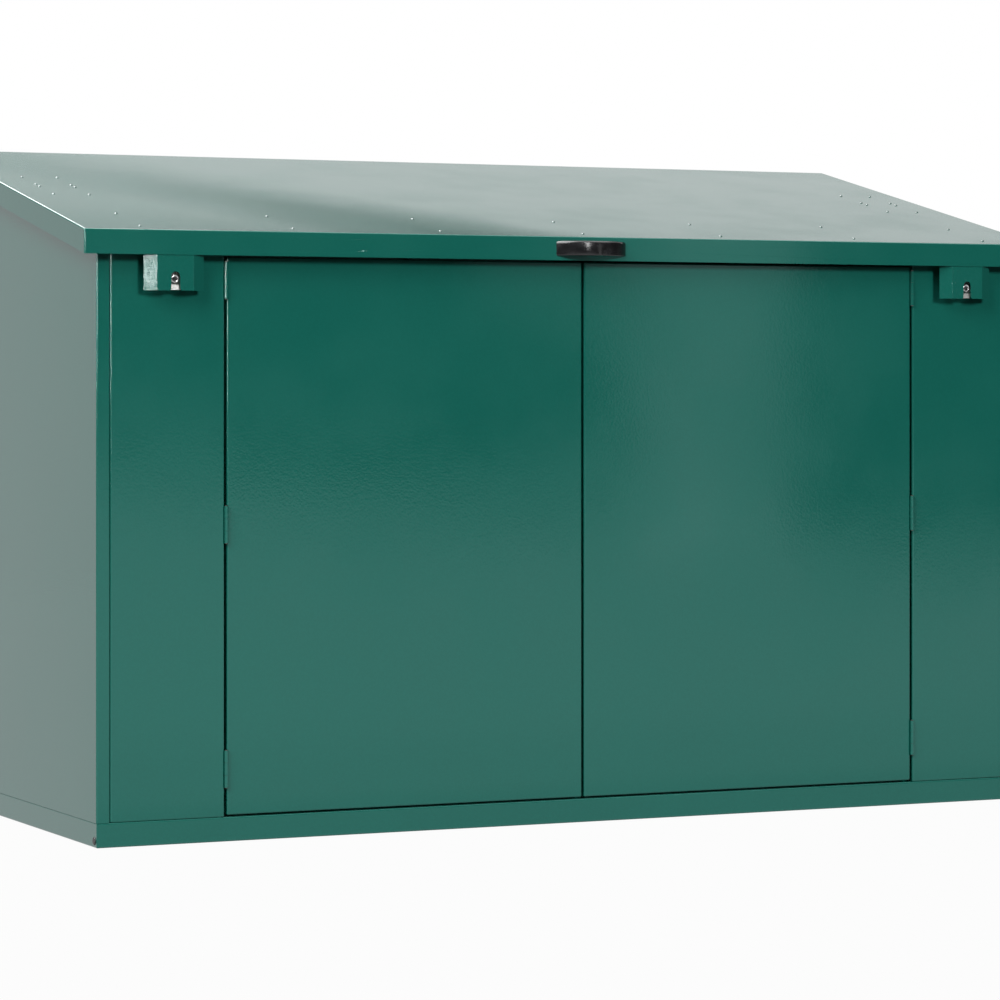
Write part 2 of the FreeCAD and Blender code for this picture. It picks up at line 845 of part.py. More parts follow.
def handle_screws():
    """Screws from inside the skirt into the handle's feet."""
    screws = []
    inside = Vector(0, lid_sheet, 0)
    for point in handle_screw_points():
        seat = point + inside
        shank = rod(handle_screw_radius, point - Vector(0, handle_screw_bite - sheet, 0), seat)
        head = rod(handle_screw_head_radius, seat, seat + Vector(0, handle_screw_head_height, 0))
        screws.append(shank.fuse(head).removeSplitter())
    return Part.makeCompound(screws)


def lid_buffers():
    """Rubber buffers on the side walls' upper returns, just under the lid."""
    buffers = []
    height = (sheet + lid_clearance) * math.cos(lid_angle) - lid_sheet - buffer_gap
    for place in buffer_places:
        item = Part.makeBox(buffer_width, buffer_length, height)
        turn = FreeCAD.Rotation(Vector(1, 0, 0), math.degrees(lid_angle))
        corner = lid_point(left + buffer_inset, place, lid_sheet + buffer_gap + height)
        item.Placement = FreeCAD.Placement(corner, turn)
        buffers.append(item)
    return Part.makeCompound(buffers + [mirrored(item) for item in buffers])


# Lock guards and locks


def left_lock_guard():
    """Folded guard hanging behind the lid's front skirt, with an arched key slot and its keeper."""
    half = guard_face_width / 2
    wing = half + guard_wing_width
    path = [(-wing, guard_wing_depth), (-half, 0), (half, 0), (wing, guard_wing_depth)]
    height = guard_drop + guard_overlap
    guard = folded_strip(path, lambda p: Vector(lock_x + p.x, guard_front + p.y, guard_bottom),
                         Vector(0, 0, height))
    radius = key_slot_width / 2
    y0 = guard_front - sheet
    y1 = guard_front + 2 * sheet
    arch_z = guard_bottom + key_slot_height - radius
    arch = rod(radius, Vector(lock_x, y0, arch_z), Vector(lock_x, y1, arch_z))
    slot = block(lock_x - radius, lock_x + radius, y0, y1, guard_bottom - sheet, arch_z)
    wide = radius + key_slot_flare
    flare = [Vector(lock_x - wide, y0, guard_bottom), Vector(lock_x + wide, y0, guard_bottom),
             Vector(lock_x, y0, guard_bottom + wide)]
    mouth = solid_of(Part.Face(Part.makePolygon(flare + flare[:1])).extrude(Vector(0, y1 - y0, 0)))
    return guard.cut(arch.fuse([slot, mouth])).fuse(lock_keeper()).removeSplitter()


def lock_keeper():
    """Angle welded inside the left guard, which the turned cam reaches over."""
    x0 = lock_x - keeper_outer
    x1 = lock_x - keeper_inner
    top = lock_z - cam_width / 2 - keeper_gap
    face = guard_front + sheet
    shelf = block(x0, x1, face, front - case_depth - keeper_back_gap, top - keeper_thickness, top)
    foot = block(x0, x1, face, face + keeper_thickness, top - keeper_foot, top)
    return shelf.fuse(foot).removeSplitter()


def left_lock_case():
    """Lock case on the fixed front panel, with a block below the barrel."""
    low = guard_bottom + case_bottom_gap
    x0 = lock_x - case_width / 2
    x1 = lock_x + case_width / 2
    face = front - case_depth
    case = block(x0, x1, face, front, low, low + case_height)
    case = case.makeFillet(case_round, upright_edges(case, x0, face) + upright_edges(case, x1, face))
    lip = block(lock_x - skirt_block_width / 2, lock_x + skirt_block_width / 2,
                face - skirt_block_depth, face, low, low + skirt_block_height)
    seat = rod(barrel_radius + barrel_clearance, Vector(lock_x, face, lock_z),
               Vector(lock_x, face + barrel_depth, lock_z))
    return case.fuse(lip).cut(seat).removeSplitter()


def left_lock_barrel():
    """Lock barrel with a raised rim and a key slot."""
    face = front - case_depth - barrel_proud
    barrel = rod(barrel_radius, Vector(lock_x, face, lock_z),
                 Vector(lock_x, front - case_depth + barrel_depth - cam_gap, lock_z))
    recess = rod(barrel_radius - barrel_rim, Vector(lock_x, face, lock_z),
                 Vector(lock_x, face + barrel_recess, lock_z))
    slot = block(lock_x - key_width / 2, lock_x + key_width / 2, face, face + key_depth,
                 lock_z - key_length / 2, lock_z + key_length / 2)
    return barrel.cut(recess).cut(slot)


def left_lock_cam():
    """Cam on the barrel, upright when unlocked."""
    back = front - case_depth - cam_gap
    face = back - cam_thickness
    ring = rod(barrel_radius + cam_ring, Vector(lock_x, face, lock_z), Vector(lock_x, back, lock_z))
    arm = block(lock_x - cam_width / 2, lock_x + cam_width / 2, face, back, lock_z, lock_z + cam_length)
    bore = rod(barrel_radius + barrel_clearance, Vector(lock_x, face, lock_z), Vector(lock_x, back, lock_z))
    return ring.fuse(arm).cut(bore).removeSplitter()


# Gas struts


def along_strut(shape):
    """Shape made along Z from the lower pivot, turned into the strut's line."""
    copy = shape.copy()
    turn = FreeCAD.Rotation(Vector(1, 0, 0), strut_tilt)
    copy.Placement = FreeCAD.Placement(Vector(strut_x, foot_y, foot_z), turn)
    return copy


def socket(low, high, ball_z, side):
    """Ball socket between two heights, open to one side for the neck of its stud."""
    body = rod(socket_radius, Vector(0, 0, low), Vector(0, 0, high))
    ball = Part.makeSphere(ball_radius + ball_clearance, Vector(0, 0, ball_z), Vector(side, 0, 0))
    mouth = rod(stud_neck_radius + stud_neck_clearance, Vector(0, 0, ball_z),
                Vector(side * 2 * socket_radius, 0, ball_z))
    return body.cut(ball).cut(mouth)


def ball_stud(center, side, collar_face):
    """Ball with a neck and a collar that ends at a face beside it."""
    collar_start = collar_face - side * stud_collar
    ball = Part.makeSphere(ball_radius, center, Vector(side, 0, 0))
    neck = rod(stud_neck_radius, center, Vector(collar_start, center.y, center.z))
    collar = rod(stud_collar_radius, Vector(collar_start, center.y, center.z),
                 Vector(collar_face, center.y, center.z))
    return ball.fuse([neck, collar]).removeSplitter()


def tube_length():
    """Length of the strut's tube when the closed rod shows a short end."""
    return strut_length - 2 * socket_length - closed_rod


def left_strut_tube():
    """Hollow tube with a closed lower end and a gland round the rod."""
    low = socket_length
    high = low + tube_length()
    tube = rod(tube_radius, Vector(0, 0, low), Vector(0, 0, high))
    hollow = rod(tube_radius - tube_wall, Vector(0, 0, low + tube_end), Vector(0, 0, high - gland_length))
    gland = rod(rod_radius + rod_clearance, Vector(0, 0, high - gland_length - 1), Vector(0, 0, high))
    return along_strut(tube.cut(hollow).cut(gland))


def left_strut_lower_socket():
    """Socket on the lower end of the tube."""
    return along_strut(socket(-socket_overrun, socket_length, 0, -1))


def left_strut_rod():
    """Strut rod with its piston inside the tube."""
    low = socket_length + tube_end + piston_start
    shaft = rod(rod_radius, Vector(0, 0, low), Vector(0, 0, strut_length - socket_length))
    wide = tube_radius - tube_wall - piston_clearance
    piston = rod(wide, Vector(0, 0, low), Vector(0, 0, low + piston_length))
    return along_strut(shaft.fuse(piston).removeSplitter())


def left_strut_upper_socket():
    """Socket on the upper end of the rod."""
    return along_strut(socket(strut_length - socket_length, strut_length + socket_overrun, strut_length, 1))


def left_strut_stud():
    """Ball stud in the upper socket, ending just short of the lid arm."""
    return ball_stud(stud_point, 1, arm_web - pivot_gap)


def strut_stud_nuts():
    """Nuts on the inner face of the lid arms, opposite the studs."""
    start = Vector(arm_web + sheet, stud_point.y, stud_point.z)
    nut = rod(stud_nut_radius, start, start + Vector(stud_nut_height, 0, 0))
    tip = rod(stud_thread_radius, start, start + Vector(stud_nut_height + stud_tip, 0, 0))
    piece = nut.fuse(tip).removeSplitter()
    return Part.makeCompound([piece, mirrored(piece)])


def foot_face():
    """Inner face of the strut foot bracket."""
    return left + sheet + foot_depth


def left_strut_foot():
    """Hat-section bracket on the side wall that carries the lower ball stud."""
    low = foot_z - foot_height / 2
    path = hat_path(foot_hat_width, foot_flange, sheet, foot_depth - sheet)
    bracket = folded_strip(path, lambda p: Vector(left + p.y, foot_y + p.x, low), Vector(0, 0, foot_height))
    hole = rod(stud_thread_radius + shank_clearance, Vector(left + 2 * sheet, foot_y, foot_z),
               Vector(foot_face() + sheet, foot_y, foot_z))
    return bracket.cut(hole)


def strut_foot_studs():
    """Lower ball studs with their nuts inside the foot brackets."""
    center = Vector(strut_x, foot_y, foot_z)
    stud = ball_stud(center, -1, foot_face())
    inner = Vector(foot_face() - sheet, foot_y, foot_z)
    end = inner - Vector(stud_nut_height, 0, 0)
    thread = rod(stud_thread_radius, Vector(foot_face(), foot_y, foot_z), end)
    nut = rod(stud_nut_radius, inner, end)
    piece = stud.fuse([thread, nut]).removeSplitter()
    return Part.makeCompound([piece, mirrored(piece)])


def save(name, shape):
    """Write one node."""
    shape.exportStep("parts/" + name + ".step")


def save_pair(name, shape):
    """Write a left-hand node and its mirrored right-hand one."""
    save(name, shape)
    save(name.replace("left", "right"), mirrored(shape))


def build():
    """Write every node of the shed."""
    os.makedirs("parts", exist_ok=True)
    save("base_front_rail", base_front_rail())
    save("base_rear_rail", base_rear_rail())
    save_pair("base_left_rail", base_left_rail())
    save("corner_plugs", corner_plugs())
    save_pair("floor_left_panel", floor_left_panel())
    save_pair("left_side_panel", left_side_panel())
    save_pair("front_left_panel", front_left_panel())
    save_pair("rear_left_panel", rear_left_panel())
    save("wall_bolts", wall_bolts())
    save_pair("left_door_frame_leaves", left_door_frame_leaves())
    save_pair("left_door_hinge_pins", left_door_hinge_pins())
    save_pair("left_door_hinge_leaves", left_door_hinge_leaves())
    save_pair("left_door_panel", left_door_panel())
    save_pair("left_door_stiffener", left_door_stiffener())
    save("lid_hinge_wall_leaves", lid_hinge_leaves(-1, False))
    save("lid_hinge_wall_rivets", lid_hinge_rivets(-1, sheet))
    save("lid_hinge_pins", lid_hinge_pins())
    save("lid_hinge_lid_leaves", lid_hinge_leaves(1, True))
    save("lid_hinge_lid_rivets", lid_hinge_rivets(1, lid_sheet))
    save("lid_panel", lid_panel())
    save("lid_front_stiffener", lid_front_stiffener())
    save("lid_stiffener_rivets", Part.makeCompound(lid_rivets(stiffener_rivet_points())))
    save_pair("left_lid_arm", left_lid_arm())
    save("lid_arm_rivets", arm_rivets())
    save("lid_buffers", lid_buffers())
    save("lid_handle", lid_handle())
    save("handle_screws", handle_screws())
    save_pair("left_lock_guard", left_lock_guard())
    save_pair("left_lock_case", left_lock_case())
    save_pair("left_lock_barrel", left_lock_barrel())
    save_pair("left_lock_cam", left_lock_cam())
    save_pair("left_strut_foot", left_strut_foot())
    save("strut_foot_studs", strut_foot_studs())
    save_pair("left_strut_tube", left_strut_tube())
    save_pair("left_strut_lower_socket", left_strut_lower_socket())
    save_pair("left_strut_rod", left_strut_rod())
    save_pair("left_strut_upper_socket", left_strut_upper_socket())
    save_pair("left_strut_stud", left_strut_stud())
    save("strut_stud_nuts", strut_stud_nuts())


build()
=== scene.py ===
import logging
import math
from collections.abc import Iterable, Mapping, Sequence
from dataclasses import dataclass, field
from enum import Enum
from typing import Union

import bmesh
import bpy
from mathutils import Matrix, Vector


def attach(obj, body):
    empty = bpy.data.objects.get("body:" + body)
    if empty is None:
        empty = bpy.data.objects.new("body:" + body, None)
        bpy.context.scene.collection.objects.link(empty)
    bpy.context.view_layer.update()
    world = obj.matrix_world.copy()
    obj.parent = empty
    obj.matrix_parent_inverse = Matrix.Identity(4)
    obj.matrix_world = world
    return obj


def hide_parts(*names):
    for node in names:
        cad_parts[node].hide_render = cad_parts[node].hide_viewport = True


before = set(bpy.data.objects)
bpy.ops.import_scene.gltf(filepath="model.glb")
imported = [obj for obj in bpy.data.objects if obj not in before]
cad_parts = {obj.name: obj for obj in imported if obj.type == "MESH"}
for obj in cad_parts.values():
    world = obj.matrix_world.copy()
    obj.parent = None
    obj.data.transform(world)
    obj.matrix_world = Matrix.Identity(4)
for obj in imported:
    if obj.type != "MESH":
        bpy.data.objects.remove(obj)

log = logging.getLogger("garden_store")

Point = tuple[float, float, float]
Tone = tuple[float, float, float, float]
Span = tuple[float, float]
Shape = tuple[Span, ...]
Profile = list[Span]
Place = tuple[Vector, Vector]
Ring = list[bmesh.types.BMVert]
Operand = Union["Wire", float, Sequence[float]]

WHITE: Tone = (1.0, 1.0, 1.0, 1.0)
NOISE_SPAN: Span = (0.3, 0.7)


class Side(Enum):
    """Left or right half of the store, seen from the front."""

    LEFT = "left"
    RIGHT = "right"

    @property
    def sign(self) -> float:
        """Direction of the half along X."""
        return -1.0 if self is Side.LEFT else 1.0

    def node(self, rest: str) -> str:
        """Name of a node of this half."""
        return f"{self.value}_{rest}"


class Body(str, Enum):
    """Bodies of the frame that stand alone."""

    CABINET = "cabinet"
    LID = "lid"


class Slot(str, Enum):
    """Material slots of the record, passed along with new pieces."""

    GREEN_PAINT = "green_paint"
    GALVANISED = "galvanised_steel"
    LOCK_CHROME = "lock_chrome"
    ROD_CHROME = "rod_chrome"
    BLACK_PAINT = "black_paint"
    BLACK_PLASTIC = "black_plastic"
    RUBBER = "rubber"


# Shader sheets


class Wire:
    """Output of a node that takes part in sums and products."""

    def __init__(self, sheet: "NodeSheet", socket: bpy.types.NodeSocket) -> None:
        """Keep the socket and the sheet that it belongs to."""
        self.sheet = sheet
        self.socket = socket

    @property
    def is_wide(self) -> bool:
        """Whether the socket carries three numbers."""
        return self.socket.type in {"VECTOR", "RGBA"}

    def joined(self, operation: str, first: Operand, second: Operand) -> "Wire":
        """Add the node that joins two operands.

        Args:
            operation: Name of the operation of a Math or Vector Math node.
            first: Left operand.
            second: Right operand.

        Returns:
            The result.
        """
        pair = [first, second]
        wide = any(isinstance(item, Wire) and item.is_wide for item in pair)
        if wide:
            pair = [(item,) * 3 if isinstance(item, (int, float)) else item for item in pair]
        kind = "ShaderNodeVectorMath" if wide else "ShaderNodeMath"
        return self.sheet.node(kind, {"operation": operation}, {0: pair[0], 1: pair[1]})

    def __add__(self, other: Operand) -> "Wire":
        """Sum."""
        return self.joined("ADD", self, other)

    def __radd__(self, other: Operand) -> "Wire":
        """Sum with the operands exchanged."""
        return self.joined("ADD", other, self)

    def __sub__(self, other: Operand) -> "Wire":
        """Difference."""
        return self.joined("SUBTRACT", self, other)

    def __rsub__(self, other: Operand) -> "Wire":
        """Difference with the operands exchanged."""
        return self.joined("SUBTRACT", other, self)

    def __mul__(self, other: Operand) -> "Wire":
        """Product."""
        return self.joined("MULTIPLY", self, other)

    def __rmul__(self, other: Operand) -> "Wire":
        """Product with the operands exchanged."""
        return self.joined("MULTIPLY", other, self)

    def largest(self, other: Operand) -> "Wire":
        """Larger of two values."""
        return self.joined("MAXIMUM", self, other)


class NodeSheet:
    """Node tree with short ways to add nodes."""

    def __init__(self, tree: bpy.types.NodeTree) -> None:
        """Start from an empty tree."""
        self.tree = tree
        tree.nodes.clear()

    def node(
        self,
        kind: str,
        settings: Mapping[str, object] | None = None,
        sockets: Mapping[str | int, Operand] | None = None,
        output: str | int = 0,
    ) -> Wire:
        """Add one node.

        Args:
            kind: Node type.
            settings: Properties, set first.
            sockets: Values or links of the inputs, by index, identifier or name.
            output: Output that is returned.

        Returns:
            The chosen output, or the last input of a node that has none.
        """
        made = self.tree.nodes.new(kind)
        for name, value in (settings or {}).items():
            setattr(made, name, value)
        for key, value in (sockets or {}).items():
            target = self._socket(made.inputs, key)
            if isinstance(value, Wire):
                self.tree.links.new(value.socket, target)
            else:
                target.default_value = value
        return Wire(self, self._socket(made.outputs, output) if made.outputs else made.inputs[-1])

    @staticmethod
    def _socket(sockets: Iterable[bpy.types.NodeSocket], key: str | int) -> bpy.types.NodeSocket:
        """Find one socket of a node.

        Args:
            sockets: Inputs or outputs of the node.
            key: Index, identifier or name.

        Returns:
            The socket.
        """
        if isinstance(key, int):
            return sockets[key]
        by_identifier = [item for item in sockets if item.identifier == key]
        return by_identifier[0] if by_identifier else sockets[key]

    def place(self) -> Wire:
        """Position on the piece, in metres."""
        return self.node("ShaderNodeTexCoord", output="Object")

    def noise(self, place: Wire, size: float, detail: float = 2.0) -> Wire:
        """Cloudy value between 0 and 1.

        Args:
            place: Position.
            size: Size of one cloud in metres.
            detail: Number of finer layers.

        Returns:
            The value.
        """
        sockets = {"Vector": place, "Scale": 1.0 / size, "Detail": detail, "Roughness": 0.5}
        return self.node("ShaderNodeTexNoise", sockets=sockets)

    def stretched(self, place: Wire, scale: Point) -> Wire:
        """Position with each axis scaled on its own."""
        return self.node("ShaderNodeMapping", sockets={"Vector": place, "Scale": scale})

    def fade(
        self,
        value: Wire,
        low: float,
        high: float,
        to_low: float = 0.0,
        to_high: float = 1.0,
    ) -> Wire:
        """Smooth step from one level to another.

        Args:
            value: Value that is read.
            low: Value at which the step starts.
            high: Value at which it ends.
            to_low: Result below the step.
            to_high: Result above it.

        Returns:
            The stepped value.
        """
        sockets = {0: value, 1: low, 2: high, 3: to_low, 4: to_high}
        return self.node("ShaderNodeMapRange", {"interpolation_type": "SMOOTHSTEP"}, sockets)

    def blend(self, factor: Wire, first: Operand, second: Operand) -> Wire:
        """Colour between two colours."""
        sockets = {"Factor_Float": factor, "A_Color": first, "B_Color": second}
        return self.node("ShaderNodeMix", {"data_type": "RGBA"}, sockets, "Result_Color")

    def bump(self, height: Wire) -> Wire:
        """Normal of a surface with a height in metres."""
        return self.node("ShaderNodeBump", sockets={"Height": height, "Distance": 1.0, "Strength": 1.0})

    def shader(self, sockets: Mapping[str, Operand]) -> Wire:
        """Principled shader with the given inputs."""
        return self.node("ShaderNodeBsdfPrincipled", sockets=sockets)


# Finishes


def tinted(tone: Tone, share: float) -> Tone:
    """A tone made lighter or darker by a share."""
    return (tone[0] * share, tone[1] * share, tone[2] * share, 1.0)


@dataclass(frozen=True)
class Finish:
    """Surface that can be put on pieces."""

    name: str

    def material(self) -> bpy.types.Material:
        """Make the finish's material, once.

        Returns:
            The material.
        """
        found = bpy.data.materials.get(self.name)
        if found is None:
            found = bpy.data.materials.new(self.name)
            found.use_nodes = True
            sheet = NodeSheet(found.node_tree)
            surface = self.surface(sheet)
            sheet.node("ShaderNodeOutputMaterial", sockets={"Surface": surface})
        return found

    def surface(self, sheet: NodeSheet) -> Wire:
        """Shader of the finish."""
        raise NotImplementedError


@dataclass(frozen=True)
class PowderCoat(Finish):
    """Gloss powder coat on thin sheet, with orange peel and the sheet's slight waves."""

    tone: Tone = (0.0070, 0.1120, 0.0860, 1.0)
    roughness: float = 0.11
    glossier: float = 0.02
    duller: float = 0.03
    peel_size: float = 0.0042
    peel_depth: float = 0.00007
    peel_span: Span = (0.30, 0.75)
    peel_share: float = 0.35
    peel_light: float = 1.16
    grain_size: float = 0.0016
    grain_depth: float = 0.00001
    wave_size: float = 0.55
    wave_depth: float = 0.0014
    wave_detail: float = 0.5
    cloud_size: float = 0.16
    cloud_contrast: float = 0.05
    refraction: float = 1.59
    gloss_tint: Tone = (0.60, 1.0, 0.97, 1.0)

    def relief(self, sheet: NodeSheet, place: Wire) -> Wire:
        """Height of the sheet's slow waves in metres."""
        return sheet.noise(place, self.wave_size, self.wave_detail) * self.wave_depth

    def surface(self, sheet: NodeSheet) -> Wire:
        """Green gloss paint.

        Args:
            sheet: Sheet that takes the nodes.

        Returns:
            The shader.
        """
        place = sheet.place()
        clouds = sheet.noise(place, self.cloud_size, 3.0)
        peel = sheet.noise(place, self.peel_size, 1.0)
        grain = sheet.noise(place, self.grain_size, 1.0)
        dark = tinted(self.tone, 1 - self.cloud_contrast)
        light = tinted(self.tone, 1 + self.cloud_contrast)
        flecks = sheet.fade(peel, *self.peel_span, 0.0, self.peel_share)
        tone = sheet.blend(flecks, sheet.blend(clouds, dark, light), tinted(self.tone, self.peel_light))
        smooth = self.roughness - self.glossier
        dull = self.roughness + self.duller
        height = peel * self.peel_depth + grain * self.grain_depth + self.relief(sheet, place)
        return sheet.shader({
            "Base Color": tone,
            "Roughness": sheet.fade(clouds, *NOISE_SPAN, smooth, dull),
            "IOR": self.refraction,
            "Specular Tint": self.gloss_tint,
            "Normal": sheet.bump(height),
        })


@dataclass(frozen=True)
class SprungSheetCoat(PowderCoat):
    """Powder coat on a wide sheet with a soft diagonal step, as large sheets spring out of flat."""

    step_start: Point = (-0.785, 0.118, 0.0)
    step_way: Point = (0.775, 0.632, 0.0)
    step_from: float = -0.20
    step_to: float = 0.28
    step_height: float = 0.0042
    droop: float = 0.022
    droop_from: float = 0.22

    def relief(self, sheet: NodeSheet, place: Wire) -> Wire:
        """Slow waves, the step and the droop in front of it.

        Args:
            sheet: Sheet that takes the nodes.
            place: Position.

        Returns:
            The height in metres.
        """
        sockets = {0: place - self.step_start, 1: self.step_way}
        across = sheet.node("ShaderNodeVectorMath", {"operation": "DOT_PRODUCT"}, sockets, "Value")
        step = sheet.fade(across, self.step_from, self.step_to, 0.0, self.step_height)
        limits = {0: across - self.droop_from, 1: 0.0, 2: self.droop_from}
        hang = sheet.node("ShaderNodeMath", {"operation": "SMOOTH_MIN"}, limits) * self.droop
        return super().relief(sheet, place) + step + hang


@dataclass(frozen=True)
class GalvanisedSheet(Finish):
    """Zinc-dipped sheet with its spangle."""

    tone: Tone = (0.50, 0.52, 0.54, 1.0)
    flake_size: float = 0.014
    flake_dark: float = 0.82
    flake_light: float = 1.12
    flake_relief: float = 0.00002
    flake_roughness: Span = (0.30, 0.46)
    stain_size: float = 0.08
    stain_span: Span = (0.45, 0.75)
    stain_share: float = 0.4
    stain_dark: float = 0.7
    wave_size: float = 0.4
    wave_depth: float = 0.002

    def surface(self, sheet: NodeSheet) -> Wire:
        """Grey metal with crystal flakes.

        Args:
            sheet: Sheet that takes the nodes.

        Returns:
            The shader.
        """
        place = sheet.place()
        sockets = {"Vector": place, "Scale": 1.0 / self.flake_size}
        flake = sheet.node("ShaderNodeTexVoronoi", sockets=sockets, output="Color")
        level = sheet.node("ShaderNodeSeparateColor", sockets={0: flake})
        stain = sheet.fade(sheet.noise(place, self.stain_size, 4.0), *self.stain_span, 0.0, self.stain_share)
        tone = sheet.blend(level, tinted(self.tone, self.flake_dark), tinted(self.tone, self.flake_light))
        waves = sheet.noise(place, self.wave_size, 1.0)
        return sheet.shader({
            "Base Color": sheet.blend(stain, tone, tinted(self.tone, self.stain_dark)),
            "Metallic": 1.0,
            "Roughness": sheet.fade(level, 0.0, 1.0, *self.flake_roughness),
            "Normal": sheet.bump(level * self.flake_relief + waves * self.wave_depth),
        })


@dataclass(frozen=True)
class PlatedMetal(Finish):
    """Plated steel with a faint brushed grain and dull patches."""

    tone: Tone = (0.66, 0.66, 0.65, 1.0)
    stain_tone: Tone = (0.50, 0.49, 0.45, 1.0)
    roughness: float = 0.28
    spread: float = 0.10
    patch_size: float = 0.012
    patch_span: Span = (0.35, 0.75)
    line_size: float = 0.0006
    line_depth: float = 0.000004
    line_share: float = 0.4
    line_stretch: Point = (1.0, 1.0, 0.08)

    def surface(self, sheet: NodeSheet) -> Wire:
        """Brushed metal.

        Args:
            sheet: Sheet that takes the nodes.

        Returns:
            The shader.
        """
        place = sheet.place()
        patches = sheet.noise(place, self.patch_size, 3.0)
        lines = sheet.noise(sheet.stretched(place, self.line_stretch), self.line_size, 2.0)
        wear = patches * (1 - self.line_share) + lines * self.line_share
        low = self.roughness - self.spread / 2
        return sheet.shader({
            "Base Color": sheet.blend(sheet.fade(patches, *self.patch_span), self.tone, self.stain_tone),
            "Metallic": 1.0,
            "Roughness": sheet.fade(wear, *NOISE_SPAN, low, low + self.spread),
            "Normal": sheet.bump(lines * self.line_depth),
        })


@dataclass(frozen=True)
class GlossPaint(Finish):
    """Thin black stove paint on steel tube."""

    tone: Tone = (0.012, 0.012, 0.013, 1.0)
    roughness: float = 0.24
    peel_size: float = 0.0022
    peel_depth: float = 0.00003
    dust_size: float = 0.03
    dust_span: Span = (0.45, 0.8)
    dust_light: float = 2.2
    dust_dulling: float = 0.08

    def surface(self, sheet: NodeSheet) -> Wire:
        """Black paint with a fine peel.

        Args:
            sheet: Sheet that takes the nodes.

        Returns:
            The shader.
        """
        place = sheet.place()
        peel = sheet.noise(place, self.peel_size, 2.0)
        dust = sheet.noise(place, self.dust_size, 4.0)
        pale = tinted(self.tone, self.dust_light)
        dull = self.roughness + self.dust_dulling
        return sheet.shader({
            "Base Color": sheet.blend(sheet.fade(dust, *self.dust_span), self.tone, pale),
            "Roughness": sheet.fade(dust, *NOISE_SPAN, self.roughness, dull),
            "Normal": sheet.bump(peel * self.peel_depth),
        })


@dataclass(frozen=True)
class MouldedPlastic(Finish):
    """Moulded plastic with a faint grain and flow marks."""

    tone: Tone = (0.010, 0.010, 0.011, 1.0)
    roughness: float = 0.11
    refraction: float = 1.50
    grain_size: float = 0.0011
    grain_depth: float = 0.000010
    rub_size: float = 0.018
    rub_span: Span = (0.4, 0.8)
    rub_light: float = 1.8
    rub_dulling: float = 0.09
    flow_size: float = 0.012
    flow_depth: float = 0.00006
    flow_stretch: Point = (0.25, 1.0, 1.0)

    def surface(self, sheet: NodeSheet) -> Wire:
        """Black plastic.

        Args:
            sheet: Sheet that takes the nodes.

        Returns:
            The shader.
        """
        place = sheet.place()
        grain = sheet.noise(place, self.grain_size, 2.0)
        rubbed = sheet.noise(place, self.rub_size, 3.0)
        flow = sheet.noise(sheet.stretched(place, self.flow_stretch), self.flow_size, 1.0)
        pale = tinted(self.tone, self.rub_light)
        dull = self.roughness + self.rub_dulling
        return sheet.shader({
            "Base Color": sheet.blend(sheet.fade(rubbed, *self.rub_span), self.tone, pale),
            "Roughness": sheet.fade(rubbed, *NOISE_SPAN, self.roughness, dull),
            "IOR": self.refraction,
            "Normal": sheet.bump(grain * self.grain_depth + flow * self.flow_depth),
        })


@dataclass(frozen=True)
class MattRubber(Finish):
    """Matt rubber with a dusty bloom."""

    tone: Tone = (0.020, 0.020, 0.021, 1.0)
    roughness: Span = (0.62, 0.78)
    bloom_size: float = 0.009
    bloom_span: Span = (0.4, 0.8)
    bloom_light: float = 2.4
    grain_size: float = 0.0008
    grain_depth: float = 0.00004

    def surface(self, sheet: NodeSheet) -> Wire:
        """Dark matt rubber.

        Args:
            sheet: Sheet that takes the nodes.

        Returns:
            The shader.
        """
        place = sheet.place()
        bloom = sheet.noise(place, self.bloom_size, 4.0)
        grain = sheet.noise(place, self.grain_size, 2.0)
        pale = tinted(self.tone, self.bloom_light)
        return sheet.shader({
            "Base Color": sheet.blend(sheet.fade(bloom, *self.bloom_span), self.tone, pale),
            "Roughness": sheet.fade(bloom, *NOISE_SPAN, *self.roughness),
            "Normal": sheet.bump(grain * self.grain_depth),
        })


GREEN = PowderCoat("green_powder_coat")
LID_GREEN = SprungSheetCoat("green_powder_coat_lid", wave_size=0.50, wave_depth=0.0012)
GUARD_GREEN = PowderCoat("green_powder_coat_guard", peel_depth=0.00025)
# Rivet heads take a darker, greyer copy of the green: painted shade standing in for the dark look of the
# small domes under the lights.
RIVET_PAINTED_SHADE_GREEN = PowderCoat("rivet_paint_painted_shade", tone=(0.030, 0.075, 0.066, 1.0), wave_depth=0.0,
                         refraction=1.85, gloss_tint=WHITE)
SPANGLE = GalvanisedSheet("galvanised_spangle")
BOLT_ZINC = PlatedMetal("bright_zinc", roughness=0.30)
PIN_STEEL = PlatedMetal("dull_pin_steel", tone=(0.10, 0.10, 0.10, 1.0), stain_tone=(0.06, 0.06, 0.05, 1.0),
                        roughness=0.45)
CASE_ZINC = PlatedMetal("lock_case_zinc", tone=(0.72, 0.71, 0.70, 1.0), roughness=0.40)
BARREL_CHROME = PlatedMetal("barrel_chrome", tone=(0.78, 0.78, 0.79, 1.0),
                            stain_tone=(0.70, 0.70, 0.70, 1.0), roughness=0.12, spread=0.08)
ROD_CHROME = PlatedMetal("strut_rod_chrome", tone=(0.80, 0.80, 0.81, 1.0),
                         stain_tone=(0.72, 0.72, 0.73, 1.0), roughness=0.10, spread=0.06)
TUBE_BLACK = GlossPaint("strut_tube_black")
HANDLE_BLACK = MouldedPlastic("handle_plastic")
SOCKET_BLACK = MouldedPlastic("socket_plastic", roughness=0.38, grain_depth=0.00003)
PLUG_BLACK = MouldedPlastic("plug_plastic", roughness=0.42, grain_depth=0.00003)
BUFFER_RUBBER = MattRubber("buffer_rubber")


# Mesh tools


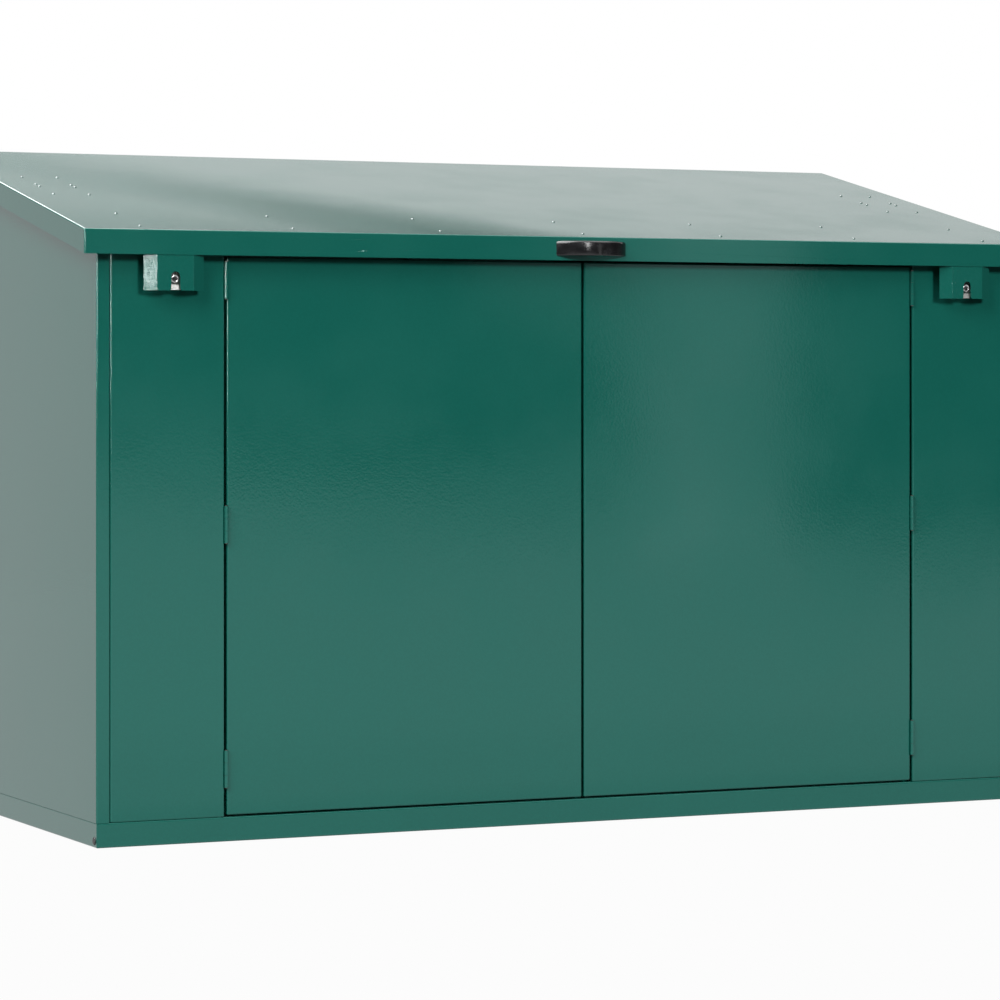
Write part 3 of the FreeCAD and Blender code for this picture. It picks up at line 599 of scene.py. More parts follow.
class MeshMaker:
    """Collects the faces of one piece and turns them into an object."""

    POLE_RADIUS = 1e-7
    ROUNDING_STEPS = 4

    def __init__(self) -> None:
        """Start with nothing."""
        self.bm = bmesh.new()

    def ring(self, points: Iterable[Vector]) -> Ring:
        """Add a row of points."""
        return [self.bm.verts.new(point) for point in points]

    def bridge(self, first: Ring, second: Ring) -> None:
        """Join two closed rings with faces.

        Args:
            first: One ring; a ring of one point is a pole.
            second: The other ring, likewise.
        """
        count = max(len(first), len(second))
        for index in range(count):
            following = (index + 1) % count
            corners = [first[index % len(first)], first[following % len(first)],
                       second[following % len(second)], second[index % len(second)]]
            unique = list(dict.fromkeys(corners))
            if len(unique) > 2:
                self.bm.faces.new(unique)

    def skin(self, rings: list[Ring]) -> None:
        """Join each ring to the next."""
        for first, second in zip(rings[:-1], rings[1:]):
            self.bridge(first, second)

    def cap(self, ring: Ring) -> None:
        """Close a ring with one face."""
        self.bm.faces.new(ring)

    def turn(self, profile: Profile, segments: int, placement: Matrix) -> list[Ring]:
        """Turn a profile of radius and height round Z.

        Args:
            profile: Radius and height of each point, from one end to the other.
            segments: Number of sides.
            placement: Place of the turned form.

        Returns:
            The rings of points.
        """
        angles = [2 * math.pi * index / segments for index in range(segments)]
        circle = [(math.cos(angle), math.sin(angle)) for angle in angles]
        rings = []
        for radius, height in profile:
            points = [Vector((radius * x, radius * y, height)) for x, y in circle]
            if radius < self.POLE_RADIUS:
                points = [Vector((0, 0, height))]
            rings.append(self.ring(placement @ point for point in points))
        self.skin(rings)
        return rings

    def block(self, low: Vector, high: Vector, rounding: float, placement: Matrix) -> None:
        """Add a block with rounded edges.

        Args:
            low: Lowest corner.
            high: Highest corner.
            rounding: Radius of the edges.
            placement: Place of the block.
        """
        size = high - low
        matrix = placement @ Matrix.Translation((low + high) / 2) @ Matrix.Diagonal((*size, 1.0))
        made = bmesh.ops.create_cube(self.bm, size=1.0, matrix=matrix)
        edges = list({edge for vertex in made["verts"] for edge in vertex.link_edges})
        bmesh.ops.bevel(self.bm, geom=edges, offset=rounding, segments=self.ROUNDING_STEPS, profile=0.5,
                        affect="EDGES")

    def piece(self, name: str, smooth_degrees: float = 35.0) -> bpy.types.Object:
        """Object made of the collected faces.

        Args:
            name: Name of the piece.
            smooth_degrees: Edges flatter than this look smooth.

        Returns:
            The object, in the scene.
        """
        bmesh.ops.recalc_face_normals(self.bm, faces=self.bm.faces)
        mesh = bpy.data.meshes.new(name)
        self.bm.to_mesh(mesh)
        self.bm.free()
        mesh.shade_smooth()
        mesh.set_sharp_from_angle(angle=math.radians(smooth_degrees))
        made = bpy.data.objects.new(name, mesh)
        bpy.context.scene.collection.objects.link(made)
        return made


def placed(point: Vector, direction: Vector) -> Matrix:
    """Placement that turns Z to a direction at a point."""
    turn = Vector((0, 0, 1)).rotation_difference(direction).to_matrix().to_4x4()
    return Matrix.Translation(point) @ turn


def scaled(shape: Shape, radius: float, height: float, base: float = 0.0) -> Profile:
    """Profile with a shape's shares of a radius, and of a height over a base."""
    return [(radius * wide, base + height * high) for wide, high in shape]


def dome(radius: float, height: float, start: float, steps: int) -> Profile:
    """Profile over a domed head.

    Args:
        radius: Radius of the head's rim.
        height: Height of the dome over its rim.
        start: Radius at which the profile starts.
        steps: Number of steps out to the rim.

    Returns:
        Radius and height of each point.
    """
    ball = (radius ** 2 + height ** 2) / (2 * height)
    reaches = [start + (radius - start) * step / steps for step in range(steps + 1)]
    return [(reach, math.sqrt(ball ** 2 - reach ** 2) - (ball - height)) for reach in reaches]


def flat_piece(name: str, corners: Iterable[Point]) -> bpy.types.Object:
    """Make a piece of one flat face.

    Args:
        name: Name of the piece.
        corners: Corners of the face.

    Returns:
        The piece.
    """
    maker = MeshMaker()
    maker.cap(maker.ring(Vector(corner) for corner in corners))
    return maker.piece(name)


class Workshop:
    """Dresses nodes and puts new pieces on their bodies."""

    def dress(self, finish: Finish, *nodes: str) -> None:
        """Give nodes of the frame a finish.

        Args:
            finish: The finish.
            nodes: Names of the nodes.
        """
        for name in nodes:
            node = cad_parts[name]
            for slot in node.material_slots:
                slot.material = finish.material()
            log.info("node %s: %s", name, finish.name)

    def mount(
        self,
        piece: bpy.types.Object,
        body: str,
        finish: Finish,
        slot: Slot,
        *stands_for: str,
    ) -> None:
        """Put a new piece on a body in place of nodes.

        Args:
            piece: The new piece.
            body: Body that carries it.
            finish: Its finish.
            slot: Material slot of the record; not used.
            stands_for: Nodes that it replaces.
        """
        piece.data.materials.append(finish.material())
        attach(piece, body)
        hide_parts(*stands_for)
        log.info("piece %s on %s: %s", piece.name, body, finish.name)


# Sizes shared by the sub-assemblies


@dataclass(frozen=True)
class Envelope:
    """Main planes of the store, in metres."""

    half_width: float = 0.980
    front: float = -0.427
    rear: float = 0.427
    base_height: float = 0.045
    sheet: float = 0.0015
    lid_front: float = -0.462
    lid_front_height: float = 1.119
    lid_rear_height: float = 1.308

    @property
    def slope(self) -> float:
        """Angle of the lid."""
        return math.atan2(self.lid_rear_height - self.lid_front_height, self.rear - self.lid_front)

    @property
    def lid_up(self) -> Vector:
        """Direction square to the lid."""
        return Vector((0.0, -math.sin(self.slope), math.cos(self.slope)))

    @property
    def lid_sheet(self) -> float:
        """Thickness of the lid square to its face."""
        return self.sheet * math.cos(self.slope)

    def lid_point(self, x: float, along: float, below: float) -> Vector:
        """Point on the lid or under it.

        Args:
            x: Place across the store.
            along: Distance up the lid from its front edge.
            below: Distance under its face.

        Returns:
            The point.
        """
        y = self.lid_front + along * math.cos(self.slope) + below * math.sin(self.slope)
        z = self.lid_front_height + along * math.sin(self.slope) - below * math.cos(self.slope)
        return Vector((x, y, z))


ENVELOPE = Envelope()


# Sub-assemblies


@dataclass
class BlindRivets:
    """Blind rivets with a domed head, an eye and a bulb behind the sheet."""

    head_radius: float = 0.0032
    head_height: float = 0.0022
    rim_height: float = 0.0003
    rim_chamfer: float = 0.0001
    eye_radius: float = 0.0008
    eye_depth: float = 0.0006
    shank_radius: float = 0.0016
    tail_radius: float = 0.0026
    tail_height: float = 0.0015
    tail_shape: Shape = ((0.9, 0.0), (1.0, -0.4), (0.8, -0.85), (0.0, -1.0))
    segments: int = 28
    dome_steps: int = 6

    def profile(self, grip: float) -> Profile:
        """Profile from the eye over the dome to the bulb.

        Args:
            grip: Thickness that the rivet holds.

        Returns:
            Radius and height of each point.
        """
        eye_floor = self.head_height - self.eye_depth
        over = dome(self.head_radius, self.head_height, self.eye_radius, self.dome_steps)
        points = [(0.0, eye_floor), (self.eye_radius, eye_floor)]
        points += [(radius, max(rise, self.rim_height)) for radius, rise in over]
        points += [(self.head_radius - self.rim_chamfer, 0.0)]
        points += [(self.shank_radius, 0.0), (self.shank_radius, -grip)]
        return points + scaled(self.tail_shape, self.tail_radius, self.tail_height, -grip)

    def build(self, name: str, places: Sequence[Place], grip: float) -> bpy.types.Object:
        """One piece with a rivet at every place.

        Args:
            name: Name of the piece.
            places: Point under the head and direction of the head.
            grip: Thickness that the rivets hold.

        Returns:
            The piece.
        """
        maker = MeshMaker()
        for point, direction in places:
            maker.turn(self.profile(grip), self.segments, placed(point, direction))
        return maker.piece(name)


@dataclass
class BaseFrame:
    """Base rails, floor sheets and the plugs in the rails' ends."""

    plug_radius: float = 0.0075
    plug_height: float = 0.0020
    plug_stem: float = 0.0045
    plug_length: float = 0.0060
    plug_setback: float = 0.011
    plug_level: float = 0.0125
    plug_segments: int = 40
    cap_shape: Shape = ((0.0, 0.80), (0.45, 0.84), (0.62, 1.0), (0.80, 0.92), (0.94, 0.66), (1.0, 0.30),
                        (1.0, 0.0))
    stem_shape: Shape = ((1.0, 0.0), (1.0, -0.8), (0.8, -1.0), (0.0, -1.0))

    def plug_profile(self) -> Profile:
        """Cap with a rounded rim, a shallow dish and a stem."""
        cap = scaled(self.cap_shape, self.plug_radius, self.plug_height)
        return cap + scaled(self.stem_shape, self.plug_stem, self.plug_length)

    def build(self, shop: Workshop) -> None:
        """Dress the rails and the floor and set the plugs.

        Args:
            shop: Workshop that dresses and mounts.
        """
        shop.dress(GREEN, "base_front_rail", "base_rear_rail", "base_left_rail", "base_right_rail")
        shop.dress(SPANGLE, "floor_left_panel", "floor_right_panel")
        maker = MeshMaker()
        for side in Side:
            x = side.sign * ENVELOPE.half_width
            for y in (ENVELOPE.front + self.plug_setback, ENVELOPE.rear - self.plug_setback):
                spot = placed(Vector((x, y, self.plug_level)), Vector((side.sign, 0, 0)))
                maker.turn(self.plug_profile(), self.plug_segments, spot)
        plugs = maker.piece("corner_plug_caps")
        shop.mount(plugs, Body.CABINET.value, PLUG_BLACK, Slot.BLACK_PLASTIC, "corner_plugs")


@dataclass
class Walls:
    """Wall sheets, their joint bolts and the buffers under the lid."""

    seam_x: float = 0.95375
    bolt_inset: float = 0.014
    bolt_end_gap: float = 0.120
    bolt_levels: int = 3
    front_top: float = 1.09244
    rear_top: float = 1.261
    grip: float = 0.0035
    head_radius: float = 0.0060
    head_height: float = 0.0035
    head_steps: int = 7
    head_segments: int = 32
    shank_radius: float = 0.0030
    nut_radius: float = 0.0050
    nut_height: float = 0.0050
    nut_sides: int = 6
    nut_corner: float = 0.0004
    nut_upper_share: float = 0.92
    nut_lower_share: float = 0.90
    thread_end: float = 0.0010
    thread_chamfer: float = 0.0003
    thread_tip_share: float = 0.85
    buffer_width: float = 0.014
    buffer_length: float = 0.040
    buffer_rounding: float = 0.0012
    buffer_inset: float = 0.004
    buffer_gap: float = 0.0003
    buffer_room: float = 0.006
    buffer_places: Span = (0.126, 0.706)

    def levels(self, top: float) -> list[float]:
        """Heights of the bolts of one seam.

        Args:
            top: Height at which the seam ends.

        Returns:
            The heights, from the lowest to the highest.
        """
        low = ENVELOPE.base_height + self.bolt_end_gap
        step = (top - self.bolt_end_gap - low) / (self.bolt_levels - 1)
        return [low + step * index for index in range(self.bolt_levels)]

    def joints(self) -> list[tuple[Vector, float]]:
        """Places of the bolts.

        Returns:
            Middle of each bolted seam and the direction of the bolt's head along X.
        """
        front = ENVELOPE.front + self.bolt_inset
        rear = ENVELOPE.rear - self.bolt_inset
        found = []
        for side in Side:
            x = side.sign * self.seam_x
            found += [(Vector((x, front, z)), -side.sign) for z in self.levels(self.front_top)]
            found += [(Vector((x, rear, z)), -side.sign) for z in self.levels(self.rear_top)]
        found += [(Vector((0, rear, z)), 1.0) for z in self.levels(self.rear_top)]
        return found

    def head_profile(self) -> Profile:
        """Cup head and shank down to the nut."""
        cup = dome(self.head_radius, self.head_height, 0.0, self.head_steps)
        return cup + [(self.shank_radius, 0.0), (self.shank_radius, -self.grip), (0.0, -self.grip)]

    def nut_profile(self) -> Profile:
        """Nut with chamfered corners and the end of the thread.

        Returns:
            Radius and height of each point.
        """
        top = -self.grip
        tip = top - self.nut_height
        under = tip + self.thread_end
        return [(0.0, top), (self.nut_radius * self.nut_upper_share, top),
                (self.nut_radius, top - self.nut_corner), (self.nut_radius, under + self.nut_corner),
                (self.nut_radius * self.nut_lower_share, under), (self.shank_radius, under),
                (self.shank_radius, tip + self.thread_chamfer),
                (self.shank_radius * self.thread_tip_share, tip), (0.0, tip)]

    def set_bolts(self, shop: Workshop) -> None:
        """Make the bolts with their nuts.

        Args:
            shop: Workshop that mounts them.
        """
        maker = MeshMaker()
        for middle, way in self.joints():
            spot = placed(middle + Vector((way * self.grip / 2, 0, 0)), Vector((way, 0, 0)))
            maker.turn(self.head_profile(), self.head_segments, spot)
            maker.turn(self.nut_profile(), self.nut_sides, spot)
        bolts = maker.piece("wall_bolt_set", smooth_degrees=25.0)
        shop.mount(bolts, Body.CABINET.value, BOLT_ZINC, Slot.GALVANISED, "wall_bolts")

    def set_buffers(self, shop: Workshop) -> None:
        """Make the buffers.

        Args:
            shop: Workshop that mounts them.
        """
        maker = MeshMaker()
        below = ENVELOPE.lid_sheet + self.buffer_gap
        height = (ENVELOPE.sheet + self.buffer_room) * math.cos(ENVELOPE.slope) - below
        size = Vector((self.buffer_width, self.buffer_length, height))
        for side in Side:
            start = side.sign * (ENVELOPE.half_width - self.buffer_inset)
            low_x = min(start, start - side.sign * self.buffer_width)
            for place in self.buffer_places:
                corner = ENVELOPE.lid_point(low_x, place, below + height)
                spot = Matrix.Translation(corner) @ Matrix.Rotation(ENVELOPE.slope, 4, "X")
                maker.block(Vector((0, 0, 0)), size, self.buffer_rounding, spot)
        pads = maker.piece("lid_buffer_pads")
        shop.mount(pads, Body.CABINET.value, BUFFER_RUBBER, Slot.RUBBER, "lid_buffers")

    def build(self, shop: Workshop) -> None:
        """Dress the walls, set the bolts and the buffers.

        Args:
            shop: Workshop that dresses and mounts.
        """
        for side in Side:
            fixed = (f"front_{side.value}_panel", f"rear_{side.value}_panel")
            shop.dress(GREEN, side.node("side_panel"), *fixed)
        self.set_bolts(shop)
        self.set_buffers(shop)


@dataclass
class Door:
    """One door with its stiffener and hinges."""

    side: Side

    def build(self, shop: Workshop) -> None:
        """Dress the door and its hinges.

        Args:
            shop: Workshop that dresses.
        """
        names = ("door_panel", "door_stiffener", "door_hinge_leaves", "door_frame_leaves")
        shop.dress(GREEN, *(self.side.node(name) for name in names))
        shop.dress(PIN_STEEL, self.side.node("door_hinge_pins"))


@dataclass
class Lid:
    """Lid sheet with its stiffener, arms, rivets and hinges."""

    row_distances: Span = (0.036, 0.169)
    rivet_first: float = 0.897
    rivet_columns: int = 7
    arm_inset: float = 0.067
    arm_column: float = 0.0355
    arm_setback: float = 0.481
    arm_rows: tuple[float, ...] = (-0.0985, -0.012, 0.012, 0.0985)
    hinge_count: int = 4
    hinge_pitch: float = 0.520
    hinge_length: float = 0.090
    hinge_rivet_inset: float = 0.015
    hinge_rivet_drop: float = 0.024
    hinge_axis_height: float = 1.262
    leaf_thickness: float = 0.0025
    rivets: BlindRivets = field(default_factory=BlindRivets)

    def stiffener_places(self) -> list[Place]:
        """Rivets of the front stiffener.

        Returns:
            Point under each head and direction of the head.
        """
        pitch = 2 * self.rivet_first / (self.rivet_columns - 1)
        columns = [-self.rivet_first + pitch * index for index in range(self.rivet_columns)]
        spots = [(x, along) for along in self.row_distances for x in columns]
        return [(ENVELOPE.lid_point(x, along, 0.0), ENVELOPE.lid_up) for x, along in spots]

    def arm_places(self) -> list[Place]:
        """Rivets of both arms.

        Returns:
            Point under each head and direction of the head.
        """
        found = []
        for side in Side:
            middle = side.sign * (ENVELOPE.half_width - self.arm_inset)
            for x in (middle - self.arm_column, middle + self.arm_column):
                for row in self.arm_rows:
                    found.append((ENVELOPE.lid_point(x, self.arm_setback + row, 0.0), ENVELOPE.lid_up))
        return found

    def hinge_places(self, way: float) -> list[Place]:
        """Rivets of the hinges.

        Args:
            way: 1 for the leaves above the axis and -1 for those below it.

        Returns:
            Point under each head and direction of the head.
        """
        first = -self.hinge_pitch * (self.hinge_count - 1) / 2 - self.hinge_length / 2
        face = ENVELOPE.rear + self.leaf_thickness
        height = self.hinge_axis_height + way * self.hinge_rivet_drop
        found = []
        for index in range(self.hinge_count):
            for offset in (self.hinge_rivet_inset, self.hinge_length - self.hinge_rivet_inset):
                x = first + index * self.hinge_pitch + offset
                found.append((Vector((x, face, height)), Vector((0, 1, 0))))
        return found

    def build(self, shop: Workshop) -> None:
        """Dress the lid and set its rivets.

        Args:
            shop: Workshop that dresses and mounts.
        """
        shop.dress(LID_GREEN, "lid_panel")
        shop.dress(GREEN, "lid_front_stiffener", "left_lid_arm", "right_lid_arm", "lid_hinge_lid_leaves",
                   "lid_hinge_wall_leaves")
        shop.dress(BOLT_ZINC, "lid_hinge_pins", "strut_stud_nuts")
        grip = ENVELOPE.lid_sheet + ENVELOPE.sheet
        leaf_grip = self.leaf_thickness + ENVELOPE.sheet
        above = self.hinge_places(1.0)
        below = self.hinge_places(-1.0)
        groups = (
            ("lid_stiffener_rivet_heads", "lid_stiffener_rivets", Body.LID, grip, self.stiffener_places()),
            ("lid_arm_rivet_heads", "lid_arm_rivets", Body.LID, grip, self.arm_places()),
            ("lid_hinge_rivet_heads", "lid_hinge_lid_rivets", Body.LID, leaf_grip, above),
            ("wall_hinge_rivet_heads", "lid_hinge_wall_rivets", Body.CABINET, leaf_grip, below),
        )
        # Rivet heads take the darker green copy that carries painted shade.
        for name, node, body, held, places in groups:
            piece = self.rivets.build(name, places, held)
            shop.mount(piece, body.value, RIVET_PAINTED_SHADE_GREEN, Slot.GREEN_PAINT, node)


@dataclass
class BowHandle:
    """Bow handle of black plastic on the lid's front skirt."""

    length: float = 0.147
    height: float = 0.028
    projection: float = 0.03195
    grip_gap: float = 0.020
    foot: float = 0.019
    drop: float = 0.008
    upper_round: float = 0.0055
    lower_round: float = 0.0015
    inner_round: float = 0.0030
    stations: int = 60
    corner_steps: int = 6

    @staticmethod
    def arc_point(half: float, reach: float, share: float) -> Vector:
        """Point on an arc that stands out from the skirt.

        Args:
            half: Half of the arc's span.
            reach: How far the arc stands out.
            share: From -1 at the left end to 1 at the right end.

        Returns:
            The point, seen from above, with the skirt at y = 0.
        """
        radius = (half ** 2 + reach ** 2) / (2 * reach)
        angle = math.asin(half / radius) * share
        return Vector((radius * math.sin(angle), radius - reach - radius * math.cos(angle), 0.0))

    def section(self, share: float) -> list[Vector]:
        """Points round the handle at one station.

        Args:
            share: From -1 at the left end to 1 at the right end.

        Returns:
            The points.
        """
        outer = self.arc_point(self.length / 2, self.projection, share)
        inner = self.arc_point(self.length / 2 - self.foot, self.grip_gap, share)
        width = (outer - inner).length
        way = (outer - inner).normalized()
        corners = ((width, 0.0, self.lower_round, -90), (width, self.height, self.upper_round, 0),
                   (0.0, self.height, self.inner_round, 90), (0.0, 0.0, self.inner_round, 180))
        base = Vector((0, ENVELOPE.lid_front, ENVELOPE.lid_front_height - self.drop - self.height))
        points = []
        for across, up, radius, start in corners:
            center_across = across - radius if across else radius
            center_up = up - radius if up else radius
            for step in range(self.corner_steps + 1):
                angle = math.radians(start + 90 * step / self.corner_steps)
                reach = center_across + radius * math.cos(angle)
                rise = center_up + radius * math.sin(angle)
                points.append(base + inner + way * reach + Vector((0, 0, rise)))
        return points

    def build(self, shop: Workshop) -> None:
        """Make the handle and dress its screws.

        Args:
            shop: Workshop that dresses and mounts.
        """
        maker = MeshMaker()
        shares = [-1 + 2 * index / self.stations for index in range(self.stations + 1)]
        rings = [maker.ring(self.section(share)) for share in shares]
        maker.skin(rings)
        maker.cap(rings[0])
        maker.cap(rings[-1])
        handle = maker.piece("bow_handle", smooth_degrees=50.0)
        shop.mount(handle, Body.LID.value, HANDLE_BLACK, Slot.BLACK_PLASTIC, "lid_handle")
        shop.dress(BOLT_ZINC, "handle_screws")


@dataclass
class LockSet:
    """Guard on the lid and the lock behind it."""

    side: Side
    setback: float = 0.140
    axis_height: float = 1.0305
    face: float = -0.457
    length: float = 0.0195
    radius: float = 0.0070
    rim: float = 0.0016
    recess: float = 0.0012
    edge: float = 0.0004
    groove_radius: float = 0.0046
    groove_depth: float = 0.0004
    groove_half: float = 0.0002
    groove_floor: float = 0.0001
    key_width: float = 0.0018
    key_length: float = 0.0080
    key_depth: float = 0.0060
    segments: int = 48

    def barrel_profile(self) -> Profile:
        """Profile from the back of the barrel over its rim to the sunk face.

        Returns:
            Radius and height of each point.
        """
        wide = self.radius
        inner = wide - self.rim
        edge = self.edge
        sunk = -self.recess
        line = self.groove_radius
        groove = sunk - self.groove_depth
        return [(0.0, -self.length), (wide - edge, -self.length), (wide, -self.length + edge),
                (wide, -edge * 1.5), (wide - edge * 0.45, -edge * 0.45), (wide - edge * 1.5, 0.0),
                (inner + edge, 0.0), (inner + edge * 0.3, -edge * 0.3), (inner, -edge), (inner, sunk),
                (line + self.groove_half, sunk), (line + self.groove_floor, groove),
                (line - self.groove_floor, groove), (line - self.groove_half, sunk)]

    def slot_outline(self, count: int, height: float) -> list[Vector]:
        """Points round the key slot, in step with the points of a turned ring.

        Args:
            count: Number of points.
            height: Height of the points.

        Returns:
            The points.
        """
        half_width = self.key_width / 2
        half_length = self.key_length / 2
        points = []
        for index in range(count):
            angle = 2 * math.pi * index / count
            x = math.cos(angle)
            y = math.sin(angle)
            reach = 1 / max(abs(x) / half_width, abs(y) / half_length)
            points.append(Vector((x * reach, y * reach, height)))
        return points

    def barrel(self) -> bpy.types.Object:
        """Barrel with a rounded rim, a plug line and a key slot.

        Returns:
            The piece.
        """
        x = self.side.sign * (ENVELOPE.half_width - self.setback)
        turn = Matrix.Rotation(math.radians(90), 4, "X")
        spot = Matrix.Translation((x, self.face, self.axis_height)) @ turn
        maker = MeshMaker()
        rings = maker.turn(self.barrel_profile(), self.segments, spot)
        mouth = maker.ring(spot @ point for point in self.slot_outline(self.segments, -self.recess))
        floor = maker.ring(spot @ point for point in self.slot_outline(self.segments, -self.key_depth))
        maker.skin([rings[-1], mouth, floor])
        maker.cap(floor)
        return maker.piece(self.side.node("lock_barrel_turned"), smooth_degrees=30.0)

    def build(self, shop: Workshop) -> None:
        """Dress the guard, case and cam and make the barrel.

        Args:
            shop: Workshop that dresses and mounts.
        """
        shop.dress(GUARD_GREEN, self.side.node("lock_guard"))
        shop.dress(CASE_ZINC, self.side.node("lock_case"))
        shop.dress(PIN_STEEL, self.side.node("lock_cam"))
        shop.mount(self.barrel(), self.side.node("lock"), BARREL_CHROME, Slot.LOCK_CHROME,
                   self.side.node("lock_barrel"))


@dataclass
class GasStrut:
    """Gas strut between the side wall and the lid's arm."""

    side: Side
    plane: float = 0.940
    foot_y: float = 0.373
    foot_z: float = 1.170
    arm_setback: float = 0.481
    stud_drop: float = 0.034
    socket: float = 0.014
    tube_radius: float = 0.011
    tube_wall: float = 0.0017
    tube_end: float = 0.003
    tube_foot: Shape = ((0.0, 0.0), (0.70, 0.0), (0.90, 0.0005), (0.98, 0.0016), (1.0, 0.0032))
    tube_head: Shape = ((1.0, -0.0034), (0.97, -0.0016), (0.88, -0.0004), (0.78, 0.0), (0.62, 0.0),
                        (0.60, -0.0006))
    gland: float = 0.015
    groove_place: float = 0.7
    groove: Shape = ((0.0, -0.0018), (0.0004, -0.0010), (0.0007, 0.0), (0.0004, 0.0010), (0.0, 0.0018))
    rod_radius: float = 0.005
    rod_tip: float = 0.0008
    bore: float = 0.00506
    chamfer: float = 0.0006
    closed_rod: float = 0.014
    piston_start: float = 0.008
    piston_length: float = 0.010
    piston_radius: float = 0.009
    segments: int = 48

    @property
    def reach(self) -> Vector:
        """From the lower pivot to the upper one."""
        stud = ENVELOPE.lid_point(0.0, self.arm_setback, self.stud_drop)
        return Vector((0.0, stud.y - self.foot_y, stud.z - self.foot_z))

    def spot(self) -> Matrix:
        """Placement of the strut's own axis."""
        foot = Vector((self.side.sign * self.plane, self.foot_y, self.foot_z))
        return placed(foot, self.reach.normalized())

    def tube_profile(self) -> Profile:
        """Tube with rounded ends, a rolled groove and a gland, and its hollow.

        Returns:
            Radius and height of each point.
        """
        low = self.socket
        high = self.reach.length - self.socket - self.closed_rod
        wide = self.tube_radius
        inner = wide - self.tube_wall
        middle = high - self.gland * self.groove_place
        points = scaled(self.tube_foot, wide, 1.0, low)
        points += [(wide - depth, middle + along) for depth, along in self.groove]
        points += scaled(self.tube_head, wide, 1.0, high)
        points += [(self.bore + self.chamfer, high - self.chamfer), (self.bore, high - 2 * self.chamfer)]
        points += [(self.bore, high - self.gland), (inner, high - self.gland)]
        return points + [(inner, low + self.tube_end), (0.0, low + self.tube_end)]

    def rod_profile(self) -> Profile:
        """Rod with its piston.

        Returns:
            Radius and height of each point.
        """
        low = self.socket + self.tube_end + self.piston_start
        top = low + self.piston_length
        high = self.reach.length - self.socket
        wide = self.piston_radius
        return [(0.0, low), (wide - self.chamfer, low), (wide, low + self.chamfer),
                (wide, top - self.chamfer), (wide - self.chamfer, top), (self.rod_radius, top),
                (self.rod_radius, high - self.rod_tip), (self.rod_radius - self.chamfer, high), (0.0, high)]

    def turned(self, name: str, profile: Profile) -> bpy.types.Object:
        """Piece turned round the strut's axis.

        Args:
            name: Name of the piece after its side.
            profile: Radius and height of each point.

        Returns:
            The piece.
        """
        maker = MeshMaker()
        maker.turn(profile, self.segments, self.spot())
        return maker.piece(self.side.node(name), smooth_degrees=30.0)

    def build(self, shop: Workshop) -> None:
        """Make the tube and rod and dress the fittings.

        Args:
            shop: Workshop that dresses and mounts.
        """
        tube = self.side.node("strut_tube")
        cylinder = self.turned("strut_cylinder", self.tube_profile())
        shop.mount(cylinder, tube, TUBE_BLACK, Slot.BLACK_PAINT, tube)
        rod = self.side.node("strut_rod")
        piston = self.turned("strut_piston_rod", self.rod_profile())
        shop.mount(piston, rod, ROD_CHROME, Slot.ROD_CHROME, rod)
        shop.dress(SOCKET_BLACK, self.side.node("strut_lower_socket"), self.side.node("strut_upper_socket"))
        shop.dress(BOLT_ZINC, self.side.node("strut_stud"))
        shop.dress(SPANGLE, self.side.node("strut_foot"))


# Studio


def seen_share(sheet: NodeSheet) -> Wire:
    """Tell what is seen from what only lights things.

    Args:
        sheet: Sheet that takes the nodes.

    Returns:
        1 for what is seen directly, mirrored or through glass, and 0 for the light that falls on things.
    """
    path = [sheet.node("ShaderNodeLightPath", output=name)
            for name in ("Is Camera Ray", "Is Glossy Ray", "Is Transmission Ray")]
    return path[0].largest(path[1]).largest(path[2])


@dataclass(frozen=True)
class StudioFloor(Finish):
    """Pale floor that shows white around the store and keeps its shadow."""

    tone: Tone = (0.14, 0.14, 0.14, 1.0)
    glow: float = 0.97
    speck_size: float = 0.35
    speck_contrast: float = 0.015
    roughness: Span = (0.85, 0.95)

    def surface(self, sheet: NodeSheet) -> Wire:
        """Matt floor with a share of plain white for what the camera and reflections see.

        Args:
            sheet: Sheet that takes the nodes.

        Returns:
            The shader.
        """
        speck = sheet.noise(sheet.place(), self.speck_size, 3.0)
        dark = tinted(self.tone, 1 - self.speck_contrast)
        light = tinted(self.tone, 1 + self.speck_contrast)
        matt = sheet.shader({
            "Base Color": sheet.blend(speck, dark, light),
            "Roughness": sheet.fade(speck, *NOISE_SPAN, *self.roughness),
            "Specular IOR Level": 0.0,
        })
        white = sheet.node("ShaderNodeEmission", sockets={"Color": WHITE, "Strength": 1.0})
        seen = seen_share(sheet) * self.glow
        return sheet.node("ShaderNodeMixShader", sockets={0: seen, 1: matt, 2: white})


@dataclass(frozen=True)
class CardFinish(Finish):
    """Even brightness of a card."""

    level: float = 0.01

    def surface(self, sheet: NodeSheet) -> Wire:
        """Grey or white that doesn't depend on the light."""
        tone = (self.level, self.level, self.level, 1.0)
        return sheet.node("ShaderNodeEmission", sockets={"Color": tone, "Strength": 1.0})


@dataclass(frozen=True)
class Card:
    """Flat card that only reflections show."""

    name: str
    level: float
    corners: tuple[Point, ...]

    @classmethod
    def square(cls, name: str, level: float, first: Point, opposite: Point) -> "Card":
        """Rectangular card that lies level or stands upright.

        Args:
            name: Name of the card.
            level: Its brightness.
            first: One corner, a lower one where the card is upright.
            opposite: The corner across from it.

        Returns:
            The card.
        """
        lies = first[2] == opposite[2]
        second = (opposite[0], first[1] if lies else opposite[1], first[2])
        fourth = (first[0], opposite[1] if lies else first[1], opposite[2])
        return cls(name, level, (first, second, opposite, fourth))

    def build(self) -> None:
        """Add the card."""
        card = flat_piece(self.name, self.corners)
        card.data.materials.append(CardFinish(self.name + "_matt", level=self.level).material())
        card.visible_camera = False
        card.visible_diffuse = False
        card.visible_shadow = False
        card.visible_transmission = False


